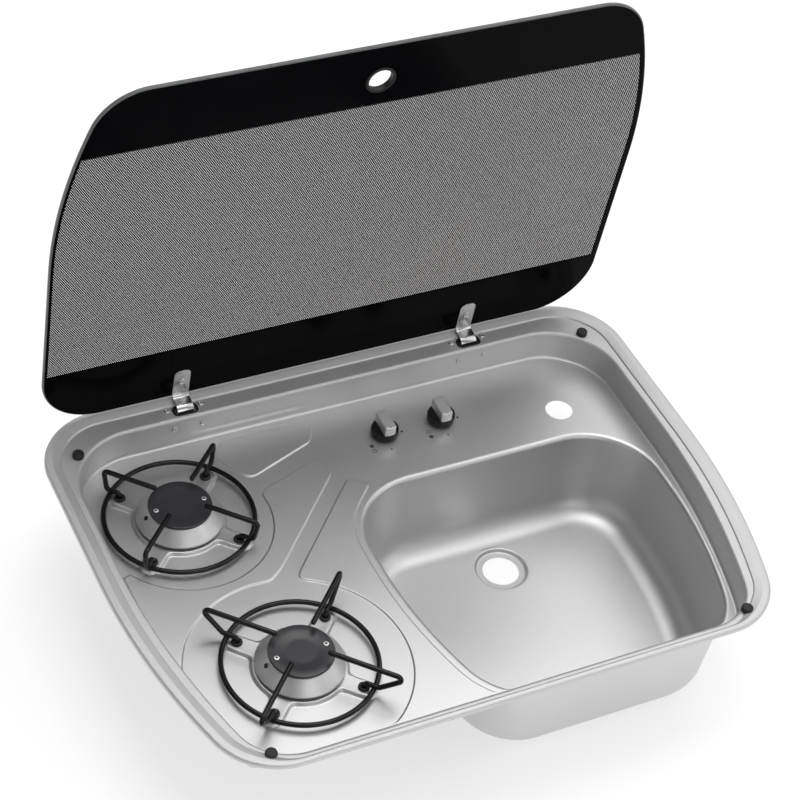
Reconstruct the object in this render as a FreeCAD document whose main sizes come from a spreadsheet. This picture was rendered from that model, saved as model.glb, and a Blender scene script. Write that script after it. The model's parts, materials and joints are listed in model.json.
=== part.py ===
"""Two-burner gas hob and sink bowl pressed in one steel tray, with a hinged glass lid.

Frame: X to the right, Y to the rear, Z up. The origin is the middle of the tray's plan, at the
level of the worktop that the rim rests on. Lengths are millimetres, angles are degrees.
"""
import FreeCAD
import Part
import Sketcher

import math
import os
import re

Vector = FreeCAD.Vector
Rotation = FreeCAD.Rotation

SIZES = {
    # Tray plan: straight rear and front edges, sides that curve in towards the front
    "tray_width": 600,
    "tray_depth": 445,
    "rear_corner": 68,
    "side_start": 20,
    "side_radius": 671,
    "front_corner": 65,
    "sheet": 0.8,
    # Rim: hollow rolled bead, then the ledge that carries the bumpers and hinges
    "bead_width": 9.5,
    "bead_height": 5,
    "bead_round": 3,
    "ledge_height": 1.5,
    "ledge_round": 3,
    # Hob well, whose floor is the pan
    "side_rim": 23,
    "rear_rim": 34,
    "front_rim": 13,
    "well_rear_corner": 66,
    "well_side_start": 40,
    "well_side_radius": 760,
    "well_front_corner": 50,
    "pan_level": -31,
    "foot_round": 2.5,
    # Sink bowl, in the right front of the well
    "bowl_side_gap": 13.5,
    "bowl_front_gap": 9.5,
    "deck_depth": 115,
    "hob_width": 237.5,
    "bowl_rear_corner": 67,
    "bowl_side_straight": 21,
    "bowl_side_radius": 468,
    "bowl_front_corner": 67,
    "bowl_floor": -125,
    "bowl_draft": 5,
    "bowl_round": 26,
    "mouth_round": 5,
    "floor_margin": 29,
    "drain_setback": 60.5,
    "drain_radius": 18,
    "drain_recess_radius": 26,
    "drain_recess_depth": 3.5,
    "tap_hole_offset": 100,
    "tap_hole_setback": 37.5,
    "tap_hole_radius": 13.5,
    # Burners
    "rear_burner_side": 82,
    "rear_burner_back": 94,
    "front_burner_gap": 119.5,
    "front_burner_front": 107.5,
    "star_height": 3,
    "star_radius": 46,
    "star_slope": 2,
    "spoke_reach": 71,
    "spoke_width": 18,
    "burner_hole": 27.5,
    "cup_radius": 27,
    "cup_wall": 2,
    "cup_depth": 22,
    "cup_flange": 31.5,
    "cup_flange_thickness": 2,
    "venturi_level": -46,
    "venturi_radius": 8,
    "venturi_wall": 1.5,
    "venturi_reach": 54,
    "injector_radius": 6,
    "injector_length": 14,
    "injector_hex": 8,
    "skirt_radius": 41.2,
    "skirt_top_radius": 30.5,
    "skirt_height": 11,
    "skirt_bore": 20,
    "neck_radius": 27,
    "neck_height": 3,
    "cap_radius": 30.2,
    "cap_thickness": 5,
    "cap_round": 1.4,
    "cap_dish_radius": 19,
    "cap_dish_depth": 1,
    "cap_screw_spread": 23.3,
    "cap_screw_radius": 1.5,
    "cap_screw_head": 2.4,
    "cap_screw_head_height": 1.2,
    "cap_screw_length": 12,
    "probe_spread": 34.5,
    "probe_radius": 2,
    "probe_top": -19,
    "probe_nut_radius": 4,
    "probe_nut_height": 5,
    "lead_radius": 1.2,
    "lead_level": -63,
    "lead_bend": 8,
    # Trivets: enamelled wire
    "wire_radius": 2.4,
    "ring_radius": 69,
    "ring_level": -24,
    "arm_level": 1.2,
    "arm_inner": 26,
    "rear_arm_outer": 76.5,
    "front_arm_outer": 97,
    "arm_bend": 4,
    "foot_spread": 59.5,
    "foot_run_level": -21.5,
    "foot_run_outer": 73,
    "foot_depth": 35,
    "grommet_radius": 5.2,
    "grommet_neck": 3.9,
    "grommet_tail": 4.8,
    "grommet_tail_height": 2,
    # Lid and hinges
    "lid_open_angle": 83,
    "pivot_setback": 16.5,
    "pivot_z": -2.7,
    "lid_height": 7,
    "lid_setback": 9.1,
    "lid_side_gap": 12.7,
    "lid_shortfall": 40,
    "lid_thickness": 4,
    "lid_rear_corner": 59,
    "lid_straight": 207,
    "lid_side_radius": 479,
    "lid_front_corner": 53,
    "finger_inset": 39,
    "finger_hole": 13,
    "finger_bore": 11.2,
    "finger_flange": 14.6,
    "finger_flange_thickness": 1.2,
    "hinge_spread": 150,
    "strap_width": 16.5,
    "strap_thickness": 1.6,
    "strap_reach": 9.7,
    "strap_plate": 36,
    "knuckle_radius": 2.9,
    "pin_radius": 1.6,
    "strap_screw_inset": 16,
    "strap_screw_radius": 2,
    "strap_screw_head": 3.6,
    "strap_screw_head_height": 1.5,
    "slot_half_width": 9.6,
    "slot_front": 10.8,
    "slot_rear": 1,
    "liner_wall": 1.6,
    "liner_flange": 3.4,
    "liner_flange_thickness": 1,
    "bracket_half_width": 21,
    "bracket_thickness": 1.5,
    "bracket_drop": 17,
    "bracket_overhang": 7,
    "ear_gap": 0.8,
    "ear_front": 4.2,
    "ear_drop": 5,
    "ledge_screw_spread": 17,
    "ledge_screw_lead": 3.5,
    "wall_screw_spread": 14,
    "wall_screw_z": -10.5,
    "hinge_screw_radius": 1.5,
    "hinge_screw_head": 2.8,
    "hinge_screw_head_height": 1.3,
    "hinge_screw_length": 6,
    # Lid bumpers
    "rear_bumper_side": 35,
    "rear_bumper_back": 49.8,
    "front_bumper_out": 22.5,
    "front_bumper_down": 45.9,
    "bumper_radius": 4.1,
    "bumper_round": 1.6,
    # Knobs and gas taps
    "left_knob_offset": 79.5,
    "right_knob_offset": 19,
    "knob_setback": 52,
    "knob_base": -27,
    "knob_radius": 13.6,
    "knob_skirt_height": 6,
    "knob_skirt_round": 2.5,
    "grip_sink": 1,
    "scoop_radius": 9,
    "scoop_offset": 11.5,
    "scoop_depth": 2.4,
    "grip_width": 12,
    "grip_setback": 0.6,
    "grip_height": 11,
    "grip_round": 1.2,
    "push_travel": 3.5,
    "spindle_radius": 4,
    "spindle_top": -22.5,
    "spindle_bottom": -61,
    "shoulder_radius": 6.5,
    "shoulder_level": -41.5,
    "shoulder_height": 2,
    "collar_radius": 8.2,
    "collar_height": 3,
    "tap_recess_radius": 8.5,
    "tap_recess_floor": -56,
    "tap_radius": 13,
    "tap_flange": 19,
    "tap_flange_thickness": 4,
    "tap_bottom": -70,
    "tap_cover": 3,
    "spring_wire": 0.7,
    "spring_radius": 6.2,
    "spring_turns": 4,
    "pan_knob_hole": 6,
    "tap_bracket_thickness": 1.5,
    "tap_bracket_margin": 24,
    "tap_bracket_depth": 40,
    "tap_screw_spread": 16,
    "tap_screw_radius": 1.5,
    "tap_screw_head": 2.6,
    "tap_screw_head_height": 1.5,
    "boss_radius": 6,
    "boss_reach": 17,
    "gallery_offset": 26,
    "gallery_radius": 7,
    "gallery_wall": 1.5,
    "gallery_overhang": 14,
    "inlet_radius": 4,
    "inlet_wall": 1,
    "inlet_length": 48,
    "inlet_ferrule": 5,
    "inlet_nut": 9,
    "inlet_nut_length": 11,
    "pipe_radius": 3,
    "pipe_wall": 0.7,
    "pipe_bend": 14,
    "rear_pipe_run": 29,
    "front_pipe_gap": 22.5,
    "front_pipe_drop": 32.5,
    # Clearances
    "running_gap": 0.05,
    "loose_gap": 0.3,
    "hole_gap": 0.15,
}

# Places and spans that follow from the sizes
TIES = {
    "well_half_width": "tray_width / 2 - side_rim",
    "well_rear": "tray_depth / 2 - rear_rim",
    "well_front": "tray_depth / 2 - front_rim",
    "bowl_half_width": "(2 * well_half_width - hob_width - bowl_side_gap) / 2",
    "bowl_x": "well_half_width - bowl_side_gap - bowl_half_width",
    "bowl_rear": "well_rear - deck_depth",
    "bowl_front": "well_front - bowl_front_gap",
    "bowl_side_start": "bowl_rear - bowl_rear_corner - bowl_side_straight",
    "drain_y": "bowl_rear - drain_setback",
    "tap_hole_x": "bowl_x + tap_hole_offset",
    "tap_hole_y": "bowl_rear + tap_hole_setback",
    "rear_burner_x": "rear_burner_side - well_half_width",
    "rear_burner_y": "well_rear - rear_burner_back",
    "front_burner_x": "bowl_x - bowl_half_width - front_burner_gap",
    "front_burner_y": "front_burner_front - well_front",
    "pivot_y": "tray_depth / 2 - pivot_setback",
    "lid_width": "tray_width - 2 * lid_side_gap",
    "lid_length": "tray_depth - lid_shortfall",
    "bracket_rear": "pivot_y + bracket_overhang",
    "ledge_screw_y": "pivot_y - ledge_screw_lead",
    "rear_bumper_x": "tray_width / 2 - rear_bumper_side",
    "rear_bumper_y": "tray_depth / 2 - rear_bumper_back",
    "front_corner_y": "front_corner - tray_depth / 2",
    "front_corner_x": "tray_width / 2 - side_radius"
                      " + sqrt((side_radius - front_corner) ^ 2 - (front_corner_y - side_start) ^ 2)",
    "front_bumper_x": "front_corner_x + front_bumper_out",
    "front_bumper_y": "front_corner_y - front_bumper_down",
    "left_knob_x": "bowl_x - left_knob_offset",
    "right_knob_x": "bowl_x - right_knob_offset",
    "knob_y": "well_rear - knob_setback",
    "rear_pipe_turn_x": "rear_burner_x + venturi_reach + injector_length + rear_pipe_run",
    "front_pipe_turn_x": "bowl_x - bowl_half_width - front_pipe_gap",
    "front_pipe_turn_y": "knob_y - front_pipe_drop",
}

doc = FreeCAD.newDocument("hob_sink_combo")
sizes = doc.addObject("Spreadsheet::Sheet", "Sizes")
for row, (alias, value) in enumerate(SIZES.items(), start=1):
    sizes.set(f"A{row}", alias)
    sizes.set(f"B{row}", str(value))
    sizes.setAlias(f"B{row}", alias)
doc.recompute()

WORD = re.compile(r"[A-Za-z_]\w*")
LEVEL_TOLERANCE = 0.01
ARCS_PER_TURN = 4
NODES = []


def tied(text):
    """Expression text with each size's name pointed at its spreadsheet cell, and each tie written out."""
    def reference(word):
        name = word[0]
        if name in TIES:
            return f"({tied(TIES[name])})"
        return f"Sizes.{name}" if name in SIZES else name
    return WORD.sub(reference, str(text))


def number(text):
    """Present value of an expression of sizes."""
    return float(sizes.evalExpression(tied(text)))


def bind(thing, **expressions):
    """Tie properties of a document object to expressions of sizes."""
    for prop, text in expressions.items():
        thing.setExpression(prop, tied(text))
    return thing


def place(thing, x="0", y="0", z="0", rotation=None):
    """Turn an object and tie its place to expressions of sizes."""
    if rotation is not None:
        thing.Placement = FreeCAD.Placement(Vector(), rotation)
    for axis, text in zip("xyz", (x, y, z)):
        thing.setExpression(f"Placement.Base.{axis}", tied(text))
    return thing


def node(thing, name):
    """Name an object as one of the finished sub-parts."""
    thing.Label = name
    NODES.append(thing)
    return thing


AXES = {
    "X": Rotation(Vector(0, 1, 0), 90),
    "Y": Rotation(Vector(1, 0, 0), -90),
    "Z": Rotation(),
}


def rod(name, radius, length, x="0", y="0", z="0", axis="Z"):
    """Cylinder that starts at x, y, z and runs along an axis."""
    thing = bind(doc.addObject("Part::Cylinder", name), Radius=radius, Height=length)
    return place(thing, x, y, z, AXES[axis])


def hexagon(name, circumradius, length, x, y, z, axis="X"):
    """Hexagonal bar that starts at x, y, z and runs along an axis."""
    thing = doc.addObject("Part::Prism", name)
    thing.Polygon = 6
    bind(thing, Circumradius=circumradius, Height=length)
    return place(thing, x, y, z, AXES[axis])


def cone(name, radius, top_radius, height, x, y, z):
    """Upright truncated cone that stands at x, y, z."""
    thing = bind(doc.addObject("Part::Cone", name), Radius1=radius, Radius2=top_radius, Height=height)
    return place(thing, x, y, z)


def box(name, x_range, y_range, z_range):
    """Box between pairs of expressions along each axis."""
    thing = doc.addObject("Part::Box", name)
    spans = [f"({high}) - ({low})" for low, high in (x_range, y_range, z_range)]
    bind(thing, Length=spans[0], Width=spans[1], Height=spans[2])
    return place(thing, x_range[0], y_range[0], z_range[0])


def fuse(name, *things):
    """Union of several objects."""
    thing = doc.addObject("Part::MultiFuse", name)
    thing.Shapes = list(things)
    thing.Refine = True
    return thing


def cut(name, base, *tools):
    """Base object with the tools taken out of it."""
    thing = doc.addObject("Part::Cut", name)
    thing.Base = base
    thing.Tool = tools[0] if len(tools) == 1 else fuse(name + "_tools", *tools)
    thing.Refine = True
    return thing


def common(name, *things):
    """Part that several objects share."""
    thing = doc.addObject("Part::MultiCommon", name)
    thing.Shapes = list(things)
    thing.Refine = True
    return thing


def group(name, *things):
    """Several separate solids kept as one object."""
    thing = doc.addObject("Part::Compound", name)
    thing.Links = list(things)
    return thing


def edges_at(feature, level, sketch=None):
    """Names of a feature's edges that lie flat at a level, and on a sketch's outline if given."""
    names = []
    for index, edge in enumerate(feature.Shape.Edges, start=1):
        span = edge.BoundBox
        if max(abs(span.ZMin - level), abs(span.ZMax - level)) > LEVEL_TOLERANCE:
            continue
        if sketch is not None:
            middle = edge.valueAt((edge.FirstParameter + edge.LastParameter) / 2)
            middle.z = sketch.Shape.BoundBox.ZMin
            if sketch.Shape.distToShape(Part.Vertex(middle))[0] > LEVEL_TOLERANCE:
                continue
        names.append(f"Edge{index}")
    return names


def round_edges(body, name, feature, level, radius, sketch=None):
    """Round a body's edges at a level, up to the given radius."""
    doc.recompute()
    thing = body.newObject("PartDesign::Fillet", name)
    thing.Base = (feature, edges_at(feature, number(level), sketch))
    return bind(thing, Radius=radius)


def round_off(name, base, level, radius):
    """Round an object's edges that lie at a level."""
    doc.recompute()
    thing = doc.addObject("Part::Fillet", name)
    thing.Base = base
    amount = number(radius)
    numbers = [int(edge[4:]) for edge in edges_at(base, number(level))]
    thing.Edges = [(index, amount, amount) for index in numbers]
    return thing


def origin_plane(body, role):
    """One of a body's own origin planes."""
    return next(feature for feature in body.Origin.OriginFeatures if feature.Role == role)


def flat_sketch(body, name, level):
    """Empty sketch of a body, parallel to its XY plane at a level."""
    sketch = body.newObject("Sketcher::SketchObject", name)
    sketch.AttachmentSupport = (origin_plane(body, "XY_Plane"), [""])
    sketch.MapMode = "FlatFace"
    sketch.setExpression("AttachmentOffset.Base.z", tied(level))
    return sketch


def arc(x, y, radius, start, end):
    """Arc of a circle in the XY plane, anticlockwise between two angles in radians."""
    return Part.ArcOfCircle(Part.Circle(Vector(x, y, 0), Vector(0, 0, 1), radius), start, end)


def add_outline(sketch, middle, half, rear, front, rear_corner, start, side_radius, front_corner):
    """Draw and constrain one outline: straight rear and front, and sides that curve in.

    Going anticlockwise from the rear edge, each of the ten lines and arcs is tangent to the next.
    """
    mid, wide, top, low = (number(text) for text in (middle, half, rear, front))
    big, turn_y, side, small = (number(text) for text in (rear_corner, start, side_radius, front_corner))
    left, right = mid - wide, mid + wide
    small_y = low + small
    small_x = wide - side + math.sqrt((side - small) ** 2 - (small_y - turn_y) ** 2)
    turn = math.atan2(turn_y - small_y, small_x - wide + side)
    pi = math.pi
    index = sketch.addGeometry([
        Part.LineSegment(Vector(right - big, top, 0), Vector(left + big, top, 0)),
        arc(left + big, top - big, big, pi / 2, pi),
        Part.LineSegment(Vector(left, top - big, 0), Vector(left, turn_y, 0)),
        arc(left + side, turn_y, side, pi, pi + turn),
        arc(mid - small_x, small_y, small, pi + turn, 1.5 * pi),
        Part.LineSegment(Vector(mid - small_x, low, 0), Vector(mid + small_x, low, 0)),
        arc(mid + small_x, small_y, small, 1.5 * pi, 2 * pi - turn),
        arc(right - side, turn_y, side, 2 * pi - turn, 2 * pi),
        Part.LineSegment(Vector(right, turn_y, 0), Vector(right, top - big, 0)),
        arc(right - big, top - big, big, 0, pi / 2),
    ], False)
    rear_line, rear_left, left_line, left_side, front_left = index[:5]
    front_line, front_right, right_side, right_line, rear_right = index[5:]

    def dimension(text, kind, *place_on):
        key = sketch.addConstraint(Sketcher.Constraint(kind, *place_on, number(text)))
        sketch.setExpression(f"Constraints[{key}]", tied(text))

    for this, following in zip(index, index[1:] + index[:1]):
        sketch.addConstraint(Sketcher.Constraint("Tangent", this, 2, following, 1))
    for line in (rear_line, front_line):
        sketch.addConstraint(Sketcher.Constraint("Horizontal", line))
    for line in (left_line, right_line):
        sketch.addConstraint(Sketcher.Constraint("Vertical", line))
    for corner in (rear_left, rear_right):
        dimension(rear_corner, "Radius", corner)
    for bend in (left_side, right_side):
        dimension(side_radius, "Radius", bend)
    for corner in (front_left, front_right):
        dimension(front_corner, "Radius", corner)
    dimension(rear, "DistanceY", -1, 1, rear_line, 1)
    dimension(front, "DistanceY", -1, 1, front_line, 1)
    dimension(f"{middle} - ({half})", "DistanceX", -1, 1, left_line, 1)
    dimension(f"{middle} + ({half})", "DistanceX", -1, 1, right_line, 1)
    dimension(start, "DistanceY", -1, 1, left_line, 2)
    dimension(start, "DistanceY", -1, 1, right_line, 1)


def outline_sketch(body, name, level, *outlines):
    """Sketch that holds one outline, or a ring between two."""
    sketch = flat_sketch(body, name, level)
    for outline in outlines:
        add_outline(sketch, *outline)
    doc.recompute()
    return sketch


def pressed(body, kind, name, sketch, length, downwards, draft=None):
    """Pad or pocket of a sketch, with walls that lean in by the draft."""
    feature = body.newObject("PartDesign::" + kind, name)
    feature.Profile = sketch
    feature.Reversed = downwards
    bind(feature, Length=length)
    if draft is not None:
        bind(feature, TaperAngle=f"-{draft}")
    return feature


def tray_outline(inset):
    """Tray's outer outline, moved inwards."""
    return ("0", f"tray_width / 2 - ({inset})", f"tray_depth / 2 - ({inset})",
            f"({inset}) - tray_depth / 2", f"rear_corner - ({inset})", "side_start",
            f"side_radius - ({inset})", f"front_corner - ({inset})")


def well_outline(outset):
    """Hob well's outline, moved outwards."""
    return ("0", f"well_half_width + {outset}", f"well_rear + {outset}", f"-well_front - {outset}",
            f"well_rear_corner + {outset}", "well_side_start", f"well_side_radius + {outset}",
            f"well_front_corner + {outset}")


def bowl_outline(outset):
    """Bowl's mouth, moved outwards."""
    return ("bowl_x", f"bowl_half_width + {outset}", f"bowl_rear + {outset}", f"-bowl_front - {outset}",
            f"bowl_rear_corner + {outset}", "bowl_side_start", f"bowl_side_radius + {outset}",
            f"bowl_front_corner + {outset}")


def pressing():
    """Tray as one sheet: bead, ledge, well and bowl, hollows rounded before the outer edges."""
    body = doc.addObject("PartDesign::Body", "pressing")
    rim_sketch = outline_sketch(body, "rim_outline", "0", tray_outline("0"))
    pressed(body, "Pad", "rim", rim_sketch, "bead_height", False)
    recess_sketch = outline_sketch(body, "recess_outline", "bead_height", tray_outline("bead_width"))
    pressed(body, "Pocket", "lid_recess", recess_sketch, "bead_height - ledge_height", False)
    under_sketch = outline_sketch(body, "under_outline", "0", tray_outline("sheet"))
    pressed(body, "Pocket", "rim_underside", under_sketch, "ledge_height - sheet", True)
    hollow_sketch = outline_sketch(body, "hollow_outline", "0", tray_outline("sheet"),
                                   tray_outline("bead_width - sheet"))
    step = pressed(body, "Pocket", "bead_hollow", hollow_sketch, "bead_height - sheet", True)
    step = round_edges(body, "hollow_round", step, "bead_height - sheet", "bead_round - sheet")
    step = round_edges(body, "bead", step, "bead_height", "bead_round")

    block_sketch = outline_sketch(body, "well_block_outline", "ledge_height - sheet", well_outline("sheet"))
    step = pressed(body, "Pad", "well_block", block_sketch, "ledge_height - pan_level", True)
    step = round_edges(body, "ledge_under_round", step, "ledge_height - sheet", "ledge_round - sheet",
                       block_sketch)
    under_mouth = outline_sketch(body, "bowl_block_outline", "pan_level - sheet", bowl_outline("sheet"))
    step = pressed(body, "Pad", "bowl_block", under_mouth, "pan_level - bowl_floor", True, "bowl_draft")
    step = round_edges(body, "mouth_under_round", step, "pan_level - sheet", "mouth_round - sheet",
                       under_mouth)
    well_sketch = outline_sketch(body, "well_outline", "ledge_height", well_outline("0"))
    step = pressed(body, "Pocket", "well", well_sketch, "ledge_height - pan_level", False)
    step = round_edges(body, "well_foot", step, "pan_level", "foot_round", well_sketch)
    mouth_sketch = outline_sketch(body, "mouth_outline", "pan_level", bowl_outline("0"))
    step = pressed(body, "Pocket", "bowl", mouth_sketch, "pan_level - bowl_floor", False, "bowl_draft")
    step = round_edges(body, "bowl_floor_round", step, "bowl_floor", "bowl_round")
    step = round_edges(body, "bowl_outer_round", step, "bowl_floor - sheet", "bowl_round + sheet")
    step = round_edges(body, "well_foot_outer", step, "pan_level - sheet", "foot_round + sheet",
                       block_sketch)
    step = round_edges(body, "ledge_edge", step, "ledge_height", "ledge_round", well_sketch)
    round_edges(body, "mouth", step, "pan_level", "mouth_round", mouth_sketch)
    doc.recompute()
    return body


def outline_block(name, low, high, *outlines):
    """Block between two levels that fills an outline, or the ring between two."""
    body = doc.addObject("PartDesign::Body", name)
    sketch = outline_sketch(body, name + "_outline", low, *outlines)
    pressed(body, "Pad", name + "_pad", sketch, f"({high}) - ({low})", False)
    doc.recompute()
    return body


def part_tray(tray):
    """Part the tray at its bends into rim, well wall, hob pan, bowl wall and bowl floor."""
    wall_top, wall_foot = "ledge_height - ledge_round", "pan_level + foot_round"
    plan = ("-tray_width", "tray_width"), ("-tray_depth", "tray_depth")
    above = box("above_wall", *plan, (wall_top, "2 * bead_height"))
    outer, inner = well_outline("2 * sheet"), well_outline("(-sheet)")
    ring = outline_block("wall_ring", wall_foot, wall_top, outer, inner)
    below = box("below_mouth", *plan, ("2 * bowl_floor", "pan_level - mouth_round"))
    core = outline_block("floor_core", "bowl_floor - 2 * drain_recess_depth", "bowl_floor + bowl_round / 2",
                         bowl_outline("(-floor_margin)"))
    node(common("rim_part", tray, above), "tray_rim")
    node(common("wall_part", tray, ring), "well_wall")
    node(cut("pan_part", tray, above, ring, below), "hob_pan")
    node(cut("bowl_part", common("bowl_shell", tray, below), core), "bowl_wall")
    node(common("floor_part", tray, core), "bowl_floor")


BURNERS = ("rear", "front")
SIDES = {"left": -1, "right": 1}
KNOBS = ("left", "right")
QUARTERS = {"north_east": (1, 1), "north_west": (-1, 1), "south_west": (-1, -1), "south_east": (1, -1)}
DIAGONAL = math.sqrt(0.5)


def spoke(name, burner, turn, inset, low, high):
    """Bar across a burner's star, with round ends, turned about the burner's axis."""
    half, reach = f"spoke_width / 2 - {inset}", "spoke_reach - spoke_width / 2"
    bar = box(name + "_bar", (f"-({reach})", reach), (f"-({half})", half), (low, high))
    ends = [rod(f"{name}_end_{key}", half, f"({high}) - ({low})", f"{sign} * ({reach})", "0", low)
            for key, sign in (("a", 1), ("b", -1))]
    whole = fuse(name, bar, *ends)
    return place(whole, f"{burner}_burner_x", f"{burner}_burner_y", "0", Rotation(Vector(0, 0, 1), turn))


def star(burner, part, inset, low, high):
    """Raised hub and four spokes round a burner."""
    hub = cone(f"{burner}_{part}_hub", f"star_radius + star_slope - {inset}", f"star_radius - {inset}",
               f"({high}) - ({low})", f"{burner}_burner_x", f"{burner}_burner_y", low)
    bars = [spoke(f"{burner}_{part}_spoke_{turn}", burner, turn, inset, low, high) for turn in (45, 135)]
    return [hub, *bars]


def foot_places(burner):
    """Plan places of a trivet's four feet."""
    reach = f"foot_spread * {DIAGONAL}"
    return {key: (f"{burner}_burner_x + {sx} * {reach}", f"{burner}_burner_y + {sy} * {reach}")
            for key, (sx, sy) in QUARTERS.items()}


def through_sheet(name, radius, x, y, level):
    """Drill for a hole down through the tray at a level."""
    return rod(name, radius, "4 * sheet + star_height", x, y, f"{level} - 3 * sheet - star_height")


def hinge_screw_places(side):
    """Ledge and wall screw places of one hinge, as expressions."""
    sign = SIDES[side]
    ledge = [f"{sign} * hinge_spread + {way} * ledge_screw_spread" for way in (-1, 1)]
    wall = [f"{sign} * hinge_spread + {way} * wall_screw_spread" for way in (-1, 1)]
    return ledge, wall


def slot_block(name, side, margin, low, high):
    """Block that fills a hinge slot, grown sideways by a margin."""
    middle = f"{SIDES[side]} * hinge_spread"
    half = f"(slot_half_width + {margin})"
    return box(name, (f"{middle} - {half}", f"{middle} + {half}"),
               (f"pivot_y - slot_front - ({margin})", f"pivot_y - slot_rear + {margin}"), (low, high))


def build_tray():
    """Pressed tray with its raised stars, holes, slots and drain recess."""
    sheet_body = pressing()
    raised = []
    hollows = []
    holes = []
    for burner in BURNERS:
        raised += star(burner, "star", "0", "pan_level - sheet", "pan_level + star_height")
        hollows += star(burner, "star_hollow", "sheet", "pan_level - 2 * sheet",
                        "pan_level + star_height - sheet")
        top = "pan_level + star_height"
        centre = (f"{burner}_burner_x", f"{burner}_burner_y")
        holes.append(through_sheet(f"{burner}_burner_opening", "burner_hole", *centre, top))
        holes.append(through_sheet(f"{burner}_probe_hole", "probe_radius + loose_gap",
                                   f"{centre[0]} - probe_spread", centre[1], top))
        for key, (x, y) in foot_places(burner).items():
            holes.append(through_sheet(f"{burner}_grommet_hole_{key}", "grommet_neck + hole_gap", x, y, top))
    for knob in KNOBS:
        holes.append(through_sheet(f"{knob}_knob_hole", "pan_knob_hole", f"{knob}_knob_x", "knob_y",
                                   "pan_level"))
    holes.append(through_sheet("tap_hole", "tap_hole_radius", "tap_hole_x", "tap_hole_y", "pan_level"))
    recess = rod("drain_recess", "drain_recess_radius", "drain_recess_depth", "bowl_x", "drain_y",
                 "bowl_floor - drain_recess_depth")
    drain_boss = rod("drain_boss", "drain_recess_radius + sheet", "drain_recess_depth + sheet", "bowl_x",
                     "drain_y", "bowl_floor - drain_recess_depth - sheet")
    raised.append(drain_boss)
    holes.append(recess)
    holes.append(rod("drain_hole", "drain_radius", "drain_recess_depth + 2 * sheet", "bowl_x", "drain_y",
                     "bowl_floor - drain_recess_depth - 2 * sheet"))
    for side in SIDES:
        ledge, wall = hinge_screw_places(side)
        holes.append(slot_block(f"{side}_hinge_slot", side, "liner_wall + hole_gap", "0", "bead_height"))
        for index, x in enumerate(ledge):
            holes.append(rod(f"{side}_ledge_screw_hole_{index}", "hinge_screw_radius + hole_gap",
                             "bead_height", x, "ledge_screw_y", "0"))
        for index, x in enumerate(wall):
            holes.append(rod(f"{side}_wall_screw_hole_{index}", "hinge_screw_radius + hole_gap",
                             "3 * sheet", x, "well_rear - sheet", "wall_screw_z", "Y"))
    part_tray(cut("tray", fuse("raised_pressing", sheet_body, *raised), *hollows, *holes))


def in_lid_frame(thing):
    """Carry an object that is modelled about the hinge axis, lid shut, to the open lid's place."""
    thing.Placement = FreeCAD.Placement(Vector(), Rotation(Vector(1, 0, 0), -1))
    thing.setExpression("Placement.Base.y", tied("pivot_y"))
    thing.setExpression("Placement.Base.z", tied("pivot_z"))
    thing.setExpression("Placement.Rotation.Angle", tied("-lid_open_angle"))
    return thing


LID_FACE = "(lid_height - pivot_z)"
STRAP_TIP = "(strap_reach + strap_plate)"


def strap_screw_place(side):
    """Place of a strap's screw in the lid's frame."""
    return f"{SIDES[side]} * hinge_spread", f"strap_screw_inset - {STRAP_TIP}"


def build_lid():
    """Glass sheet with its finger hole and two screw holes."""
    body = doc.addObject("PartDesign::Body", "glass_sheet")
    sketch = outline_sketch(body, "lid_outline", LID_FACE, (
        "0", "lid_width / 2", "-lid_setback", "-lid_setback - lid_length", "lid_rear_corner",
        "-lid_setback - lid_straight", "lid_side_radius", "lid_front_corner"))
    pressed(body, "Pad", "glass", sketch, "lid_thickness", False)
    finger = rod("finger_hole", "finger_hole", "3 * lid_thickness", "0",
                 "finger_inset - lid_setback - lid_length", f"{LID_FACE} - lid_thickness")
    screws = [rod(f"{side}_glass_screw_hole", "strap_screw_radius + hole_gap", "3 * lid_thickness",
                  *strap_screw_place(side), f"{LID_FACE} - lid_thickness") for side in SIDES]
    node(in_lid_frame(cut("lid", body, finger, *screws)), "glass_lid")


def build_finger_ring():
    """Trim ring of the finger hole: a sleeve with a flange on each face of the glass."""
    y = "finger_inset - lid_setback - lid_length"
    low = f"{LID_FACE} - finger_flange_thickness"
    whole = "lid_thickness + 2 * finger_flange_thickness"
    sleeve = rod("finger_sleeve", "finger_hole - hole_gap", whole, "0", y, low)
    under = rod("finger_under_flange", "finger_flange", "finger_flange_thickness", "0", y, low)
    over = rod("finger_over_flange", "finger_flange", "finger_flange_thickness", "0", y,
               f"{LID_FACE} + lid_thickness")
    bore = rod("finger_bore", "finger_bore", f"2 * ({whole})", "0", y, f"{low} - lid_thickness")
    node(in_lid_frame(cut("finger_ring", fuse("finger_flanges", sleeve, under, over), bore)),
         "lid_finger_ring")


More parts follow.
